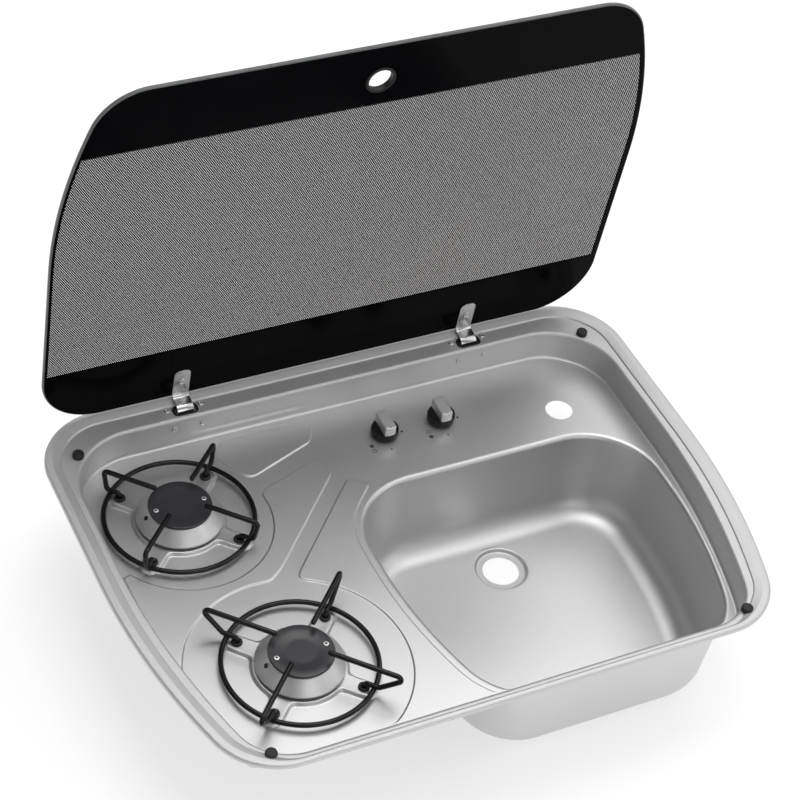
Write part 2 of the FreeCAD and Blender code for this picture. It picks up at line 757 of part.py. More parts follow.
def build_strap(side):
    """Bent strap: knuckle on the pin, curled neck round it, and a plate under the glass."""
    middle = f"{SIDES[side]} * hinge_spread"
    left = f"{middle} - strap_width / 2"
    across = (left, f"{middle} + strap_width / 2")
    knuckle = rod(f"{side}_knuckle", "knuckle_radius", "strap_width", left, "0", "0", "X")
    web = box(f"{side}_web", across, ("-strap_thickness / 2", "strap_thickness / 2"),
              ("-strap_reach + strap_thickness / 2", "0"))
    neck = bind(doc.addObject("Part::Cylinder", f"{side}_neck"), Radius="strap_reach", Height="strap_width")
    neck.Angle = 90
    front_and_below = Rotation(Vector(0, -1, 0), Vector(0, 0, -1), Vector(1, 0, 0), "XYZ")
    place(neck, left, "0", "0", front_and_below)
    neck_inside = rod(f"{side}_neck_inside", "strap_reach - strap_thickness", "strap_width", left, "0", "0",
                      "X")
    curl = cut(f"{side}_curl", neck, neck_inside)
    riser = box(f"{side}_riser", across, ("-strap_reach", "strap_thickness - strap_reach"), ("0", LID_FACE))
    tip = f"strap_width / 2 - {STRAP_TIP}"
    plate = box(f"{side}_plate", across, (tip, "strap_thickness - strap_reach"),
                (f"{LID_FACE} - strap_thickness", LID_FACE))
    end = rod(f"{side}_plate_end", "strap_width / 2", "strap_thickness", middle, tip,
              f"{LID_FACE} - strap_thickness")
    pin_hole = rod(f"{side}_pin_hole", "pin_radius + running_gap", "2 * strap_width",
                   f"{middle} - strap_width", "0", "0", "X")
    screw_hole = rod(f"{side}_strap_screw_hole", "strap_screw_radius + hole_gap", "3 * strap_thickness",
                     *strap_screw_place(side), f"{LID_FACE} - 2 * strap_thickness")
    whole = fuse(f"{side}_bent_strap", knuckle, web, curl, riser, plate, end)
    node(in_lid_frame(cut(f"{side}_strap", whole, pin_hole, screw_hole)), f"{side}_hinge_strap")


def build_strap_screws():
    """One screw through each strap and the glass, with a flat nut on the outer face."""
    screws = []
    for side in SIDES:
        x, y = strap_screw_place(side)
        head = rod(f"{side}_strap_screw_head", "strap_screw_head", "strap_screw_head_height", x, y,
                   f"{LID_FACE} - strap_thickness - strap_screw_head_height")
        shank = rod(f"{side}_strap_screw_shank", "strap_screw_radius",
                    "strap_thickness + lid_thickness", x, y, f"{LID_FACE} - strap_thickness")
        nut = rod(f"{side}_strap_screw_nut", "strap_screw_head", "strap_screw_head_height", x, y,
                  f"{LID_FACE} + lid_thickness")
        screws.append(fuse(f"{side}_strap_screw", head, shank, nut))
    node(in_lid_frame(group("strap_screws", *screws)), "hinge_strap_screws")


def build_bracket(side):
    """Folded bracket under the ledge: flange, joggle round the ledge's edge, wall flange and ears."""
    middle = f"{SIDES[side]} * hinge_spread"
    across = (f"{middle} - bracket_half_width", f"{middle} + bracket_half_width")
    under_ledge = "(ledge_height - sheet)"
    wall_face = "(well_rear + sheet)"
    round_clear = "(ledge_round - sheet + hole_gap)"
    flange_front = f"({wall_face} + {round_clear})"
    joggle_top = f"({under_ledge} - {round_clear})"
    flange = box(f"{side}_flange", across, (flange_front, "bracket_rear"),
                 (f"{under_ledge} - bracket_thickness", under_ledge))
    fold = box(f"{side}_fold", across, (flange_front, f"{flange_front} + bracket_thickness"),
               (f"{joggle_top} - bracket_thickness", under_ledge))
    joggle = box(f"{side}_joggle", across, (wall_face, f"{flange_front} + bracket_thickness"),
                 (f"{joggle_top} - bracket_thickness", joggle_top))
    wall_flange = box(f"{side}_wall_flange", across, (wall_face, f"{wall_face} + bracket_thickness"),
                      (f"{under_ledge} - bracket_drop", joggle_top))
    ears = []
    for key, way in SIDES.items():
        inner = f"{middle} + {way} * (strap_width / 2 + ear_gap)"
        outer = f"{inner} + {way} * bracket_thickness"
        span = (inner, outer) if way > 0 else (outer, inner)
        ears.append(box(f"{side}_ear_{key}", span, ("pivot_y - ear_front", "bracket_rear"),
                        ("pivot_z - ear_drop", under_ledge)))
    half = "(slot_half_width + liner_wall)"
    opening = box(f"{side}_bracket_opening", (f"{middle} - {half}", f"{middle} + {half}"),
                  ("pivot_y - slot_front - liner_wall", "pivot_y + knuckle_radius + 2 * loose_gap"),
                  (f"{under_ledge} - bracket_thickness", under_ledge))
    pin_hole = rod(f"{side}_ear_hole", "pin_radius + running_gap", "2 * bracket_half_width",
                   f"{middle} - bracket_half_width", "pivot_y", "pivot_z", "X")
    ledge, wall = hinge_screw_places(side)
    tapped = [rod(f"{side}_ledge_thread_{index}", "hinge_screw_radius + hole_gap", "3 * bracket_thickness",
                  x, "ledge_screw_y", f"{under_ledge} - 2 * bracket_thickness")
              for index, x in enumerate(ledge)]
    tapped += [rod(f"{side}_wall_thread_{index}", "hinge_screw_radius + hole_gap", "3 * bracket_thickness",
                   x, f"{wall_face} - bracket_thickness", "wall_screw_z", "Y")
               for index, x in enumerate(wall)]
    whole = fuse(f"{side}_folded_bracket", flange, fold, joggle, wall_flange, *ears)
    node(cut(f"{side}_bracket", whole, opening, pin_hole, *tapped), f"{side}_hinge_bracket")
    reach = "strap_width / 2 + ear_gap + bracket_thickness"
    node(rod(f"{side}_pin", "pin_radius", f"2 * ({reach})", f"{middle} - ({reach})", "pivot_y", "pivot_z",
             "X"), f"{side}_hinge_pin")


def build_liner(side):
    """Plastic liner of a hinge slot: a frame in the slot with a flange on the ledge."""
    frame = slot_block(f"{side}_liner_frame", side, "liner_wall", "ledge_height - sheet", "ledge_height")
    flange = slot_block(f"{side}_liner_flange", side, "liner_flange", "ledge_height",
                        "ledge_height + liner_flange_thickness")
    opening = slot_block(f"{side}_liner_opening", side, "0", "ledge_height - 3 * bracket_thickness",
                         "ledge_height + 3 * liner_flange_thickness")
    node(cut(f"{side}_liner", fuse(f"{side}_liner_whole", frame, flange), opening), f"{side}_slot_liner")


def headed_screw(name, x, y, z, axis, radius, head, head_height, length, outwards):
    """Screw whose head's seat is at x, y, z; outwards is the way its head points along the axis."""
    place_at = {"X": x, "Y": y, "Z": z}
    head_at = dict(place_at)
    shank_at = dict(place_at)
    if outwards > 0:
        shank_at[axis] = f"{place_at[axis]} - ({length})"
    else:
        head_at[axis] = f"{place_at[axis]} - ({head_height})"
    top = rod(f"{name}_head", head, head_height, *head_at.values(), axis)
    shank = rod(f"{name}_shank", radius, length, *shank_at.values(), axis)
    return fuse(name, top, shank)


def build_hinge_screws():
    """Two ledge screws and two wall screws at each hinge."""
    kind = ("hinge_screw_radius", "hinge_screw_head", "hinge_screw_head_height", "hinge_screw_length")
    screws = []
    for side in SIDES:
        ledge, wall = hinge_screw_places(side)
        screws += [headed_screw(f"{side}_ledge_screw_{index}", x, "ledge_screw_y", "ledge_height", "Z",
                                *kind, 1) for index, x in enumerate(ledge)]
        screws += [headed_screw(f"{side}_wall_screw_{index}", x, "well_rear", "wall_screw_z", "Y",
                                *kind, -1) for index, x in enumerate(wall)]
    node(group("hinge_screws", *screws), "hinge_bracket_screws")


def build_bumpers():
    """Four rubber buttons that stand on the ledge just under the shut lid."""
    top = "lid_height - loose_gap"
    buttons = []
    for where in ("rear", "front"):
        for side, sign in SIDES.items():
            button = rod(f"{where}_{side}_button", "bumper_radius", f"{top} - ledge_height",
                         f"{sign} * {where}_bumper_x", f"{where}_bumper_y", "ledge_height")
            buttons.append(round_off(f"{where}_{side}_bumper", button, top, "bumper_round"))
    node(group("bumpers", *buttons), "lid_bumpers")


def bent_path(points, bend):
    """Wire of straight runs joined by tangent arcs of one radius."""
    edges = []
    start = points[0]
    for before, corner, after in zip(points, points[1:], points[2:]):
        back = (before - corner).normalize()
        ahead = (after - corner).normalize()
        half = back.getAngle(ahead) / 2
        inwards = (back + ahead).normalize()
        enter = corner + back * (bend / math.tan(half))
        leave = corner + ahead * (bend / math.tan(half))
        middle = corner + inwards * (bend / math.sin(half) - bend)
        edges.append(Part.LineSegment(start, enter).toShape())
        edges.append(Part.Arc(enter, middle, leave).toShape())
        start = leave
    edges.append(Part.LineSegment(start, points[-1]).toShape())
    return Part.Wire(edges)


def bent_rod(points, bend, radius):
    """Round bar along straight runs and tangent arcs."""
    section = Part.Wire([Part.Circle(points[0], points[1] - points[0], radius).toShape()])
    return bent_path(points, bend).makePipeShell([section], True, True)


def bent_pipe(points, bend, radius, wall):
    """Bent round bar with a bore."""
    return bent_rod(points, bend, radius).cut(bent_rod(points, bend, radius - wall))


def coil(radius, rise, turns, wire):
    """Round wire wound about the Z axis: pairs of tangent arcs that follow a helix."""
    slope = rise / (2 * math.pi * turns)

    def on_helix(angle):
        across, along = math.cos(angle), math.sin(angle)
        spot = Vector(radius * across, radius * along, slope * angle)
        return spot, Vector(-radius * along, radius * across, slope).normalize()

    def bow(start, corner, end):
        weight = (end - start).Length / (2 * (corner - start).Length)
        crown = (start + corner * (2 * weight) + end) * (1 / (2 + 2 * weight))
        return Part.Arc(start, crown, end).toShape()

    count = round(turns * ARCS_PER_TURN)
    stops = [on_helix(2 * math.pi * index / ARCS_PER_TURN) for index in range(count + 1)]
    bows = []
    for (start, leave), (end, arrive) in zip(stops, stops[1:]):
        chord, lean = end - start, leave + arrive
        square, cross = 4 - lean.dot(lean), chord.dot(lean)
        reach = (math.sqrt(cross ** 2 + square * chord.dot(chord)) - cross) / square
        first, second = start + leave * reach, end - arrive * reach
        joint = (first + second) * 0.5
        bows += [bow(start, first, joint), bow(joint, second, end)]
    begin, heading = stops[0]
    section = Part.Wire([Part.Circle(begin, heading, wire).toShape()])
    return Part.Wire(bows).makePipeShell([section], True, True)


def shaped(name, shape, x="0", y="0", z="0"):
    """Object that holds a shape made by calculation."""
    thing = doc.addObject("Part::Feature", name)
    thing.Shape = shape
    return place(thing, x, y, z)


def build_trivet(burner):
    """Wire pan support: four folded arms on a ring, about the burner's axis."""
    tip = "pan_level + star_height"
    ring = bind(doc.addObject("Part::Torus", f"{burner}_ring"), Radius1="ring_radius",
                Radius2="wire_radius")
    place(ring, f"{burner}_burner_x", f"{burner}_burner_y", "ring_level")
    run = [("arm_inner", "arm_level"), (f"{burner}_arm_outer", "arm_level"),
           ("foot_run_outer", "foot_run_level"), ("foot_spread", "foot_run_level"),
           ("foot_spread", "-foot_depth")]
    run = [(number(reach), number(level)) for reach, level in run]
    arms = []
    for key, (sx, sy) in QUARTERS.items():
        points = [Vector(sx * DIAGONAL * reach, sy * DIAGONAL * reach, level) for reach, level in run]
        arms.append(shaped(f"{burner}_arm_{key}",
                           bent_rod(points, number("arm_bend"), number("wire_radius")),
                           f"{burner}_burner_x", f"{burner}_burner_y"))
    node(fuse(f"{burner}_wire_support", ring, *arms), f"{burner}_trivet")

    grommets = []
    under = f"{tip} - sheet - grommet_tail_height"
    above = "foot_run_level - arm_bend"
    for key, (x, y) in foot_places(burner).items():
        name = f"{burner}_grommet_{key}"
        head = rod(name + "_head", "grommet_radius", f"({above}) - ({tip})", x, y, tip)
        neck = rod(name + "_neck", "grommet_neck", "sheet", x, y, f"{tip} - sheet")
        tail = rod(name + "_tail", "grommet_tail", "grommet_tail_height", x, y, under)
        bore = rod(name + "_bore", "wire_radius + loose_gap", "20 * sheet", x, y, f"{under} - sheet")
        grommets.append(cut(name, fuse(name + "_whole", head, neck, tail), bore))
    node(group(f"{burner}_grommets", *grommets), f"{burner}_trivet_grommets")


def build_burner(burner):
    """Cup with venturi and injector under the pan; skirt, cap and screws above it."""
    x, y = f"{burner}_burner_x", f"{burner}_burner_y"
    seat = "(pan_level + star_height)"
    under = f"({seat} - sheet)"

    flange = rod(f"{burner}_cup_flange", "cup_flange", "cup_flange_thickness", x, y,
                 f"{under} - cup_flange_thickness")
    shell = rod(f"{burner}_cup_shell", "cup_radius", "cup_depth", x, y, f"{under} - cup_depth")
    inside = rod(f"{burner}_cup_inside", "cup_radius - cup_wall", "cup_depth", x, y,
                 f"{under} - cup_depth + cup_wall")
    venturi = rod(f"{burner}_venturi", "venturi_radius", "venturi_reach - cup_radius + 2 * cup_wall",
                  f"{x} + cup_radius - 2 * cup_wall", y, "venturi_level", "X")
    throat = rod(f"{burner}_throat", "venturi_radius - venturi_wall", "venturi_reach", x, y,
                 "venturi_level", "X")
    node(cut(f"{burner}_cup", fuse(f"{burner}_cup_whole", flange, shell, venturi), inside, throat),
         f"{burner}_burner_cup")

    jet_start = f"{x} + venturi_reach"
    body = rod(f"{burner}_injector_body", "injector_radius", "injector_length", jet_start, y,
               "venturi_level", "X")
    spigot = rod(f"{burner}_injector_spigot", "venturi_radius - venturi_wall - running_gap",
                 "injector_length / 2", f"{jet_start} - injector_length / 2", y, "venturi_level", "X")
    hexed = hexagon(f"{burner}_injector_hex", "injector_hex", "injector_length / 2", jet_start, y,
                    "venturi_level")
    jet = rod(f"{burner}_jet", "pipe_radius - pipe_wall", "2 * injector_length",
              f"{jet_start} - injector_length / 2", y, "venturi_level", "X")
    node(cut(f"{burner}_jet_holder", fuse(f"{burner}_injector_whole", body, spigot, hexed), jet),
         f"{burner}_injector")

    slope = cone(f"{burner}_skirt_slope", "skirt_radius", "skirt_top_radius", "skirt_height", x, y, seat)
    neck = rod(f"{burner}_skirt_neck", "neck_radius", "skirt_height + neck_height", x, y, seat)
    bore = rod(f"{burner}_skirt_bore", "skirt_bore", "2 * skirt_height + neck_height", x, y,
               f"{seat} - skirt_height / 2")
    probe_hole = rod(f"{burner}_skirt_probe_hole", "probe_radius + loose_gap", "2 * skirt_height",
                     f"{x} - probe_spread", y, f"{seat} - skirt_height / 2")
    cap_seat = f"({seat} + skirt_height + neck_height)"
    cap_top = f"({cap_seat} + cap_thickness)"
    screw_places = [(key, f"{x} + {sign} * cap_screw_spread") for key, sign in SIDES.items()]
    shanks = [rod(f"{burner}_skirt_thread_{key}", "cap_screw_radius + hole_gap", "cap_screw_length", place_x,
                  y, f"{cap_top} - cap_screw_head_height - cap_screw_length")
              for key, place_x in screw_places]
    node(cut(f"{burner}_flame_ring", fuse(f"{burner}_skirt_whole", slope, neck), bore, probe_hole, *shanks),
         f"{burner}_burner_skirt")

    disc = rod(f"{burner}_cap_disc", "cap_radius", "cap_thickness", x, y, cap_seat)
    disc = round_off(f"{burner}_cap_rounded", disc, cap_top, "cap_round")
    dish = cone(f"{burner}_cap_dish", "cap_dish_radius - cap_dish_depth", "cap_dish_radius",
                "cap_dish_depth", x, y, f"{cap_top} - cap_dish_depth")
    holes = [rod(f"{burner}_cap_hole_{key}", "cap_screw_radius + hole_gap", "2 * cap_thickness", place_x, y,
                 f"{cap_seat} - cap_thickness / 2") for key, place_x in screw_places]
    holes += [rod(f"{burner}_cap_counterbore_{key}", "cap_screw_head + hole_gap", "cap_thickness", place_x,
                  y, f"{cap_top} - cap_screw_head_height") for key, place_x in screw_places]
    node(cut(f"{burner}_lid_disc", disc, dish, *holes), f"{burner}_burner_cap")
    screws = [headed_screw(f"{burner}_cap_screw_{key}", place_x, y, f"{cap_top} - cap_screw_head_height",
                           "Z", "cap_screw_radius", "cap_screw_head", "cap_screw_head_height",
                           "cap_screw_length", 1) for key, place_x in screw_places]
    node(group(f"{burner}_screws", *screws), f"{burner}_cap_screws")


def knob_at(knob):
    """Plan place of a knob's axis."""
    return f"{knob}_knob_x", "knob_y"


def tap_screw_places(knob):
    """Plan places of the two screws of a tap, on a diagonal clear of its ports."""
    x, y = knob_at(knob)
    reach = f"tap_screw_spread * {DIAGONAL}"
    return {key: (f"{x} + {sign} * {reach}", f"{y} - {sign} * {reach}") for key, sign in SIDES.items()}


UNDER_PAN = "(pan_level - sheet)"
COVER_TOP = f"({UNDER_PAN} - tap_bracket_thickness)"
TAP_TOP = f"({COVER_TOP} - tap_cover)"


def build_tap(knob):
    """Valve body, cover, spindle, thrust collar and return spring under a knob."""
    x, y = knob_at(knob)
    barrel = rod(f"{knob}_barrel", "tap_radius", f"{TAP_TOP} - tap_bottom", x, y, "tap_bottom")
    flange = rod(f"{knob}_tap_flange", "tap_flange", "tap_flange_thickness", x, y,
                 f"{TAP_TOP} - tap_flange_thickness")
    inlet = rod(f"{knob}_tap_inlet", "boss_radius", "gallery_offset", x, y, "venturi_level", "Y")
    outlets = {"left": rod("left_tap_outlet", "boss_radius", "boss_reach", f"{x} - boss_reach", y,
                           "venturi_level", "X"),
               "right": rod("right_tap_outlet", "boss_radius", "boss_reach", x, f"{y} - boss_reach",
                            "venturi_level", "Y")}
    recess = rod(f"{knob}_tap_recess", "tap_recess_radius", f"{TAP_TOP} - tap_recess_floor", x, y,
                 "tap_recess_floor")
    guide = rod(f"{knob}_tap_guide", "spindle_radius + running_gap",
                "tap_recess_floor - spindle_bottom + push_travel + loose_gap", x, y,
                "spindle_bottom - push_travel - loose_gap")
    gallery = rod(f"{knob}_gallery_saddle", "gallery_radius + running_gap", "4 * tap_radius",
                  f"{x} - 2 * tap_radius", f"{y} + gallery_offset", "venturi_level", "X")
    screw_holes = [rod(f"{knob}_tap_screw_hole_{key}", "tap_screw_radius + hole_gap",
                       "2 * tap_flange_thickness", *plan, f"{TAP_TOP} - 1.5 * tap_flange_thickness")
                   for key, plan in tap_screw_places(knob).items()]
    whole = fuse(f"{knob}_tap_whole", barrel, flange, inlet, outlets[knob])
    node(cut(f"{knob}_valve", whole, recess, guide, gallery, *screw_holes), f"{knob}_gas_tap")

    plate = rod(f"{knob}_cover_plate", "tap_flange", "tap_cover", x, y, TAP_TOP)
    bore = rod(f"{knob}_cover_bore", "spindle_radius + running_gap", "3 * tap_cover", x, y,
               f"{TAP_TOP} - tap_cover")
    cover_holes = [rod(f"{knob}_cover_screw_hole_{key}", "tap_screw_radius + hole_gap", "3 * tap_cover",
                       *plan, f"{TAP_TOP} - tap_cover")
                   for key, plan in tap_screw_places(knob).items()]
    node(cut(f"{knob}_cover", plate, bore, *cover_holes), f"{knob}_tap_cover")

    stem = rod(f"{knob}_stem", "spindle_radius", "spindle_top - spindle_bottom", x, y, "spindle_bottom")
    shoulder = rod(f"{knob}_shoulder", "shoulder_radius", "shoulder_height", x, y, "shoulder_level")
    node(fuse(f"{knob}_spindle", stem, shoulder), f"{knob}_tap_spindle")

    collar_low = "shoulder_level - running_gap - collar_height"
    ring = rod(f"{knob}_collar_ring", "collar_radius", "collar_height", x, y, collar_low)
    eye = rod(f"{knob}_collar_eye", "spindle_radius + loose_gap", "3 * collar_height", x, y,
              f"{collar_low} - collar_height")
    node(cut(f"{knob}_collar", ring, eye), f"{knob}_thrust_collar")

    rise = number(f"{collar_low} - tap_recess_floor - 2 * spring_wire - 2 * running_gap")
    spring = coil(number("spring_radius"), rise, number("spring_turns"), number("spring_wire"))
    node(shaped(f"{knob}_spring", spring, x, y, "tap_recess_floor + spring_wire + running_gap"),
         f"{knob}_spindle_spring")


def build_knob(knob):
    """Round black skirt on the spindle, with a bar grip let into its top."""
    x, y = knob_at(knob)
    top = "(knob_base + knob_skirt_height)"
    disc = rod(f"{knob}_skirt_disc", "knob_radius", "knob_skirt_height", x, y, "knob_base")
    disc = round_off(f"{knob}_skirt_rounded", disc, top, "knob_skirt_round")
    socket = rod(f"{knob}_socket", "spindle_radius + running_gap",
                 "spindle_top - knob_base + running_gap", x, y, "knob_base")
    half = "(grip_width / 2 + running_gap)"
    seat = box(f"{knob}_grip_seat", (f"{x} - {half}", f"{x} + {half}"),
               (f"{y} - knob_radius", f"{y} + knob_radius"), (f"{top} - grip_sink", top))
    scoops = [rod(f"{knob}_{side}_scoop", "scoop_radius", "4 * knob_radius", f"{x} + {sign} * scoop_offset",
                  f"{y} - 2 * knob_radius", f"{top} + scoop_radius - scoop_depth", "Y")
              for side, sign in SIDES.items()]
    node(cut(f"{knob}_skirt", disc, socket, seat, *scoops), f"{knob}_knob_skirt")
    low = f"{top} - grip_sink"
    block = box(f"{knob}_bar_block", (f"{x} - grip_width / 2", f"{x} + grip_width / 2"),
                (f"{y} - knob_radius", f"{y} + knob_radius"), (low, f"{low} + grip_height"))
    ends = rod(f"{knob}_bar_ends", "knob_radius - grip_setback", "grip_height", x, y, low)
    bar = common(f"{knob}_bar", block, ends)
    node(round_off(f"{knob}_grip", bar, f"{low} + grip_height", "grip_round"), f"{knob}_knob_grip")


def build_tap_bracket():
    """Plate welded under the pan that carries both taps, and the four screws that hold them."""
    across = ("left_knob_x - tap_bracket_margin", "right_knob_x + tap_bracket_margin")
    along = ("knob_y - tap_bracket_depth / 2", "knob_y + tap_bracket_depth / 2")
    plate = box("tap_plate", across, along, (COVER_TOP, UNDER_PAN))
    holes = []
    screws = []
    length = f"{UNDER_PAN} - {TAP_TOP} + tap_flange_thickness - running_gap"
    for knob in KNOBS:
        x, y = knob_at(knob)
        holes.append(rod(f"{knob}_plate_hole", "pan_knob_hole", "3 * tap_bracket_thickness", x, y,
                         f"{COVER_TOP} - tap_bracket_thickness"))
        for key, plan in tap_screw_places(knob).items():
            holes.append(rod(f"{knob}_plate_thread_{key}", "tap_screw_radius + hole_gap",
                             "3 * tap_bracket_thickness", *plan,
                             f"{COVER_TOP} - tap_bracket_thickness"))
            screws.append(headed_screw(f"{knob}_tap_screw_{key}", *plan,
                                       f"{TAP_TOP} - tap_flange_thickness", "Z", "tap_screw_radius",
                                       "tap_screw_head", "tap_screw_head_height", length, -1))
    node(cut("tap_carrier", plate, *holes), "tap_bracket")
    node(group("tap_screws", *screws), "tap_bracket_screws")


def build_gallery():
    """Gas gallery behind the taps with its inlet stub, and the union nut on the stub."""
    y = "knob_y + gallery_offset"
    start = "left_knob_x - gallery_overhang"
    end = "(right_knob_x + gallery_overhang)"
    level = "venturi_level"
    pipe = rod("gallery_pipe", "gallery_radius", f"{end} - ({start})", start, y, level, "X")
    bore = rod("gallery_bore", "gallery_radius - gallery_wall", f"{end} - ({start}) - 2 * gallery_wall",
               f"{start} + gallery_wall", y, level, "X")
    stub = rod("inlet_stub", "inlet_radius", "inlet_length", end, y, level, "X")
    ferrule = rod("inlet_ferrule", "inlet_ferrule", "inlet_nut_length", end, y, level, "X")
    stub_bore = rod("inlet_bore", "inlet_radius - inlet_wall", "inlet_length + 2 * gallery_wall",
                    f"{end} - 2 * gallery_wall", y, level, "X")
    node(cut("gallery", fuse("gallery_whole", pipe, stub, ferrule), bore, stub_bore), "gas_manifold")
    nut = hexagon("union_hex", "inlet_nut", "inlet_nut_length", end, y, level)
    eye = rod("union_bore", "inlet_ferrule + running_gap", "3 * inlet_nut_length",
              f"{end} - inlet_nut_length", y, level, "X")
    node(cut("union", nut, eye), "inlet_union")


def build_pipes():
    """Feed pipes from the taps to the injectors, and the probes with their leads."""
    level = number("venturi_level")
    knob_y = number("knob_y")
    jet_end = {burner: (number(f"{burner}_burner_x + venturi_reach + injector_length"),
                        number(f"{burner}_burner_y")) for burner in BURNERS}
    rear_turn, front_turn = number("rear_pipe_turn_x"), number("front_pipe_turn_x")
    front_run = number("front_pipe_turn_y")
    left_port = number("left_knob_x - boss_reach")
    right_port = number("knob_y - boss_reach")
    right_x = number("right_knob_x")
    routes = {
        "rear": [(left_port, knob_y), (rear_turn, knob_y), (rear_turn, jet_end["rear"][1]), jet_end["rear"]],
        "front": [(right_x, right_port), (right_x, front_run), (front_turn, front_run),
                  (front_turn, jet_end["front"][1]), jet_end["front"]],
    }
    for burner, route in routes.items():
        points = [Vector(x, y, level) for x, y in route]
        pipe = bent_pipe(points, number("pipe_bend"), number("pipe_radius"), number("pipe_wall"))
        node(shaped(f"{burner}_pipe", pipe), f"{burner}_feed_pipe")

    deep = number("lead_level")
    under = number("pan_level + star_height - sheet")
    tap_reach = number("tap_radius")
    lead_turn_x = front_turn - 4 * number("lead_bend")
    lead_turn_y = (number("front_burner_y") + number("rear_burner_y")) / 2 - number("cup_flange")
    lead_run_y = front_run + number("lead_bend")
    probe = {burner: (number(f"{burner}_burner_x - probe_spread"), number(f"{burner}_burner_y"))
             for burner in BURNERS}
    leads = {
        "rear": [(probe["rear"][0], knob_y), (number("left_knob_x") - tap_reach, knob_y)],
        "front": [(probe["front"][0], lead_turn_y), (lead_turn_x, lead_turn_y), (lead_turn_x, lead_run_y),
                  (right_x, lead_run_y), (right_x, knob_y - tap_reach)],
    }
    for burner, route in leads.items():
        x, y = probe[burner]
        nut_low = under - number("probe_nut_height")
        points = [Vector(x, y, nut_low), Vector(x, y, deep)]
        points += [Vector(turn_x, turn_y, deep) for turn_x, turn_y in route]
        lead = shaped(f"{burner}_lead", bent_rod(points, number("lead_bend"), number("lead_radius")))
        plan = (f"{burner}_burner_x - probe_spread", f"{burner}_burner_y")
        below = "pan_level + star_height - sheet - probe_nut_height"
        tip = rod(f"{burner}_probe_tip", "probe_radius", f"probe_top - ({below})", *plan, below)
        tip = round_off(f"{burner}_probe", tip, "probe_top", "probe_radius / 2")
        nut = rod(f"{burner}_probe_nut", "probe_nut_radius - loose_gap", "probe_nut_height", *plan, below)
        clear = rod(f"{burner}_nut_clear", "cup_flange + hole_gap", "2 * probe_nut_height",
                    f"{burner}_burner_x", f"{burner}_burner_y", f"{below} - probe_nut_height / 2")
        node(fuse(f"{burner}_thermo", tip, cut(f"{burner}_flat_nut", nut, clear), lead),
             f"{burner}_thermocouple")


def check_and_write():
    """Stop on any failed object or bad shape, then write each sub-part."""
    doc.recompute()
    for thing in doc.Objects:
        if "Invalid" in thing.State or "Error" in thing.State:
            raise RuntimeError(f"{thing.Label} failed: {thing.State}")
    for thing in NODES:
        if thing.Shape.isNull() or not thing.Shape.isValid() or not thing.Shape.Solids:
            raise RuntimeError(f"{thing.Label} has no valid solid")
    os.makedirs("parts", exist_ok=True)
    for thing in NODES:
        thing.Shape.exportStep(f"parts/{thing.Label}.step")
        print(f"{thing.Label}: {len(thing.Shape.Solids)} solid(s), {thing.Shape.Volume:.1f} mm3")
    print(f"{len(NODES)} sub-parts")


build_tray()
build_lid()
build_finger_ring()
build_strap_screws()
build_hinge_screws()
build_bumpers()
for side in SIDES:
    build_strap(side)
    build_bracket(side)
    build_liner(side)
for burner in BURNERS:
    build_trivet(burner)
    build_burner(burner)
for knob in KNOBS:
    build_tap(knob)
    build_knob(knob)
build_tap_bracket()
build_gallery()
build_pipes()
check_and_write()
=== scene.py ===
"""Looks of a two-burner hob and sink combo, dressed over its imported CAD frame.

Sizes are millimetres in the tray's frame: X to the right, Y to the rear and Z up, with the worktop's
face at Z = 0. They become metres only when a mesh is written.
"""

import json
import logging
import math
from collections.abc import Iterable, Sequence
from dataclasses import dataclass
from enum import Enum
from functools import lru_cache, reduce

import bmesh
import bpy
import numpy as np
from mathutils import Matrix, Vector
from mathutils.geometry import delaunay_2d_cdt


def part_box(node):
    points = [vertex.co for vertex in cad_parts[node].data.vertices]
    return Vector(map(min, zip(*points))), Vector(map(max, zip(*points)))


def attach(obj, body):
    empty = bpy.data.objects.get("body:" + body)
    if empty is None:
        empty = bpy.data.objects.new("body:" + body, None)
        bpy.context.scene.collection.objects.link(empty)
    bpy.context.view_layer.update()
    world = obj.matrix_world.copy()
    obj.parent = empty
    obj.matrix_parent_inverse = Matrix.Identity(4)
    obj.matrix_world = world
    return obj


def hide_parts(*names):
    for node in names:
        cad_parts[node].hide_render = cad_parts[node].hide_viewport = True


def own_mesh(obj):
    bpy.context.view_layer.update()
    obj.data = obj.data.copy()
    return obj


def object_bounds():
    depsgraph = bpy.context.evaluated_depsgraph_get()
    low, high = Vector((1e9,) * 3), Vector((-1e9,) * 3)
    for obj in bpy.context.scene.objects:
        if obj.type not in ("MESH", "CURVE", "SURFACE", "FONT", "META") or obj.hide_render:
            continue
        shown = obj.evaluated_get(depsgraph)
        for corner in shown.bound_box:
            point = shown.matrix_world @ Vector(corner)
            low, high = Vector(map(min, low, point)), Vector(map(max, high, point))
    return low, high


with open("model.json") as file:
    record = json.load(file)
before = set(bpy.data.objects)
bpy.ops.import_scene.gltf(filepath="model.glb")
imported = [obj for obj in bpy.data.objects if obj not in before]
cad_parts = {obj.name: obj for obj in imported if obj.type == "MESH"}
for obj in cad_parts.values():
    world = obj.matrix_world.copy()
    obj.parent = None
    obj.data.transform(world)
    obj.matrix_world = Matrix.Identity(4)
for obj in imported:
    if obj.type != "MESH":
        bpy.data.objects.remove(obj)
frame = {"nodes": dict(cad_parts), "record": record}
CAD_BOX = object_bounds()

MM = 0.001
Array = np.ndarray
Colour = tuple[float, float, float]
Point = tuple[float, float]
UP = np.array([0.0, 0.0, 1.0])
WELD = 2e-6
LEAST_EDGE = 1e-7
NET_MERGE = 1e-4
LEAST_AREA = 1e-7
LOG = logging.getLogger("hob_sink")


class Body(Enum):
    """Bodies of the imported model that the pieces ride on."""

    TRAY = "tray"
    LID = "lid"
    REAR_SUPPORT = "rear_support"
    FRONT_SUPPORT = "front_support"
    LEFT_KNOB = "left_knob"
    RIGHT_KNOB = "right_knob"


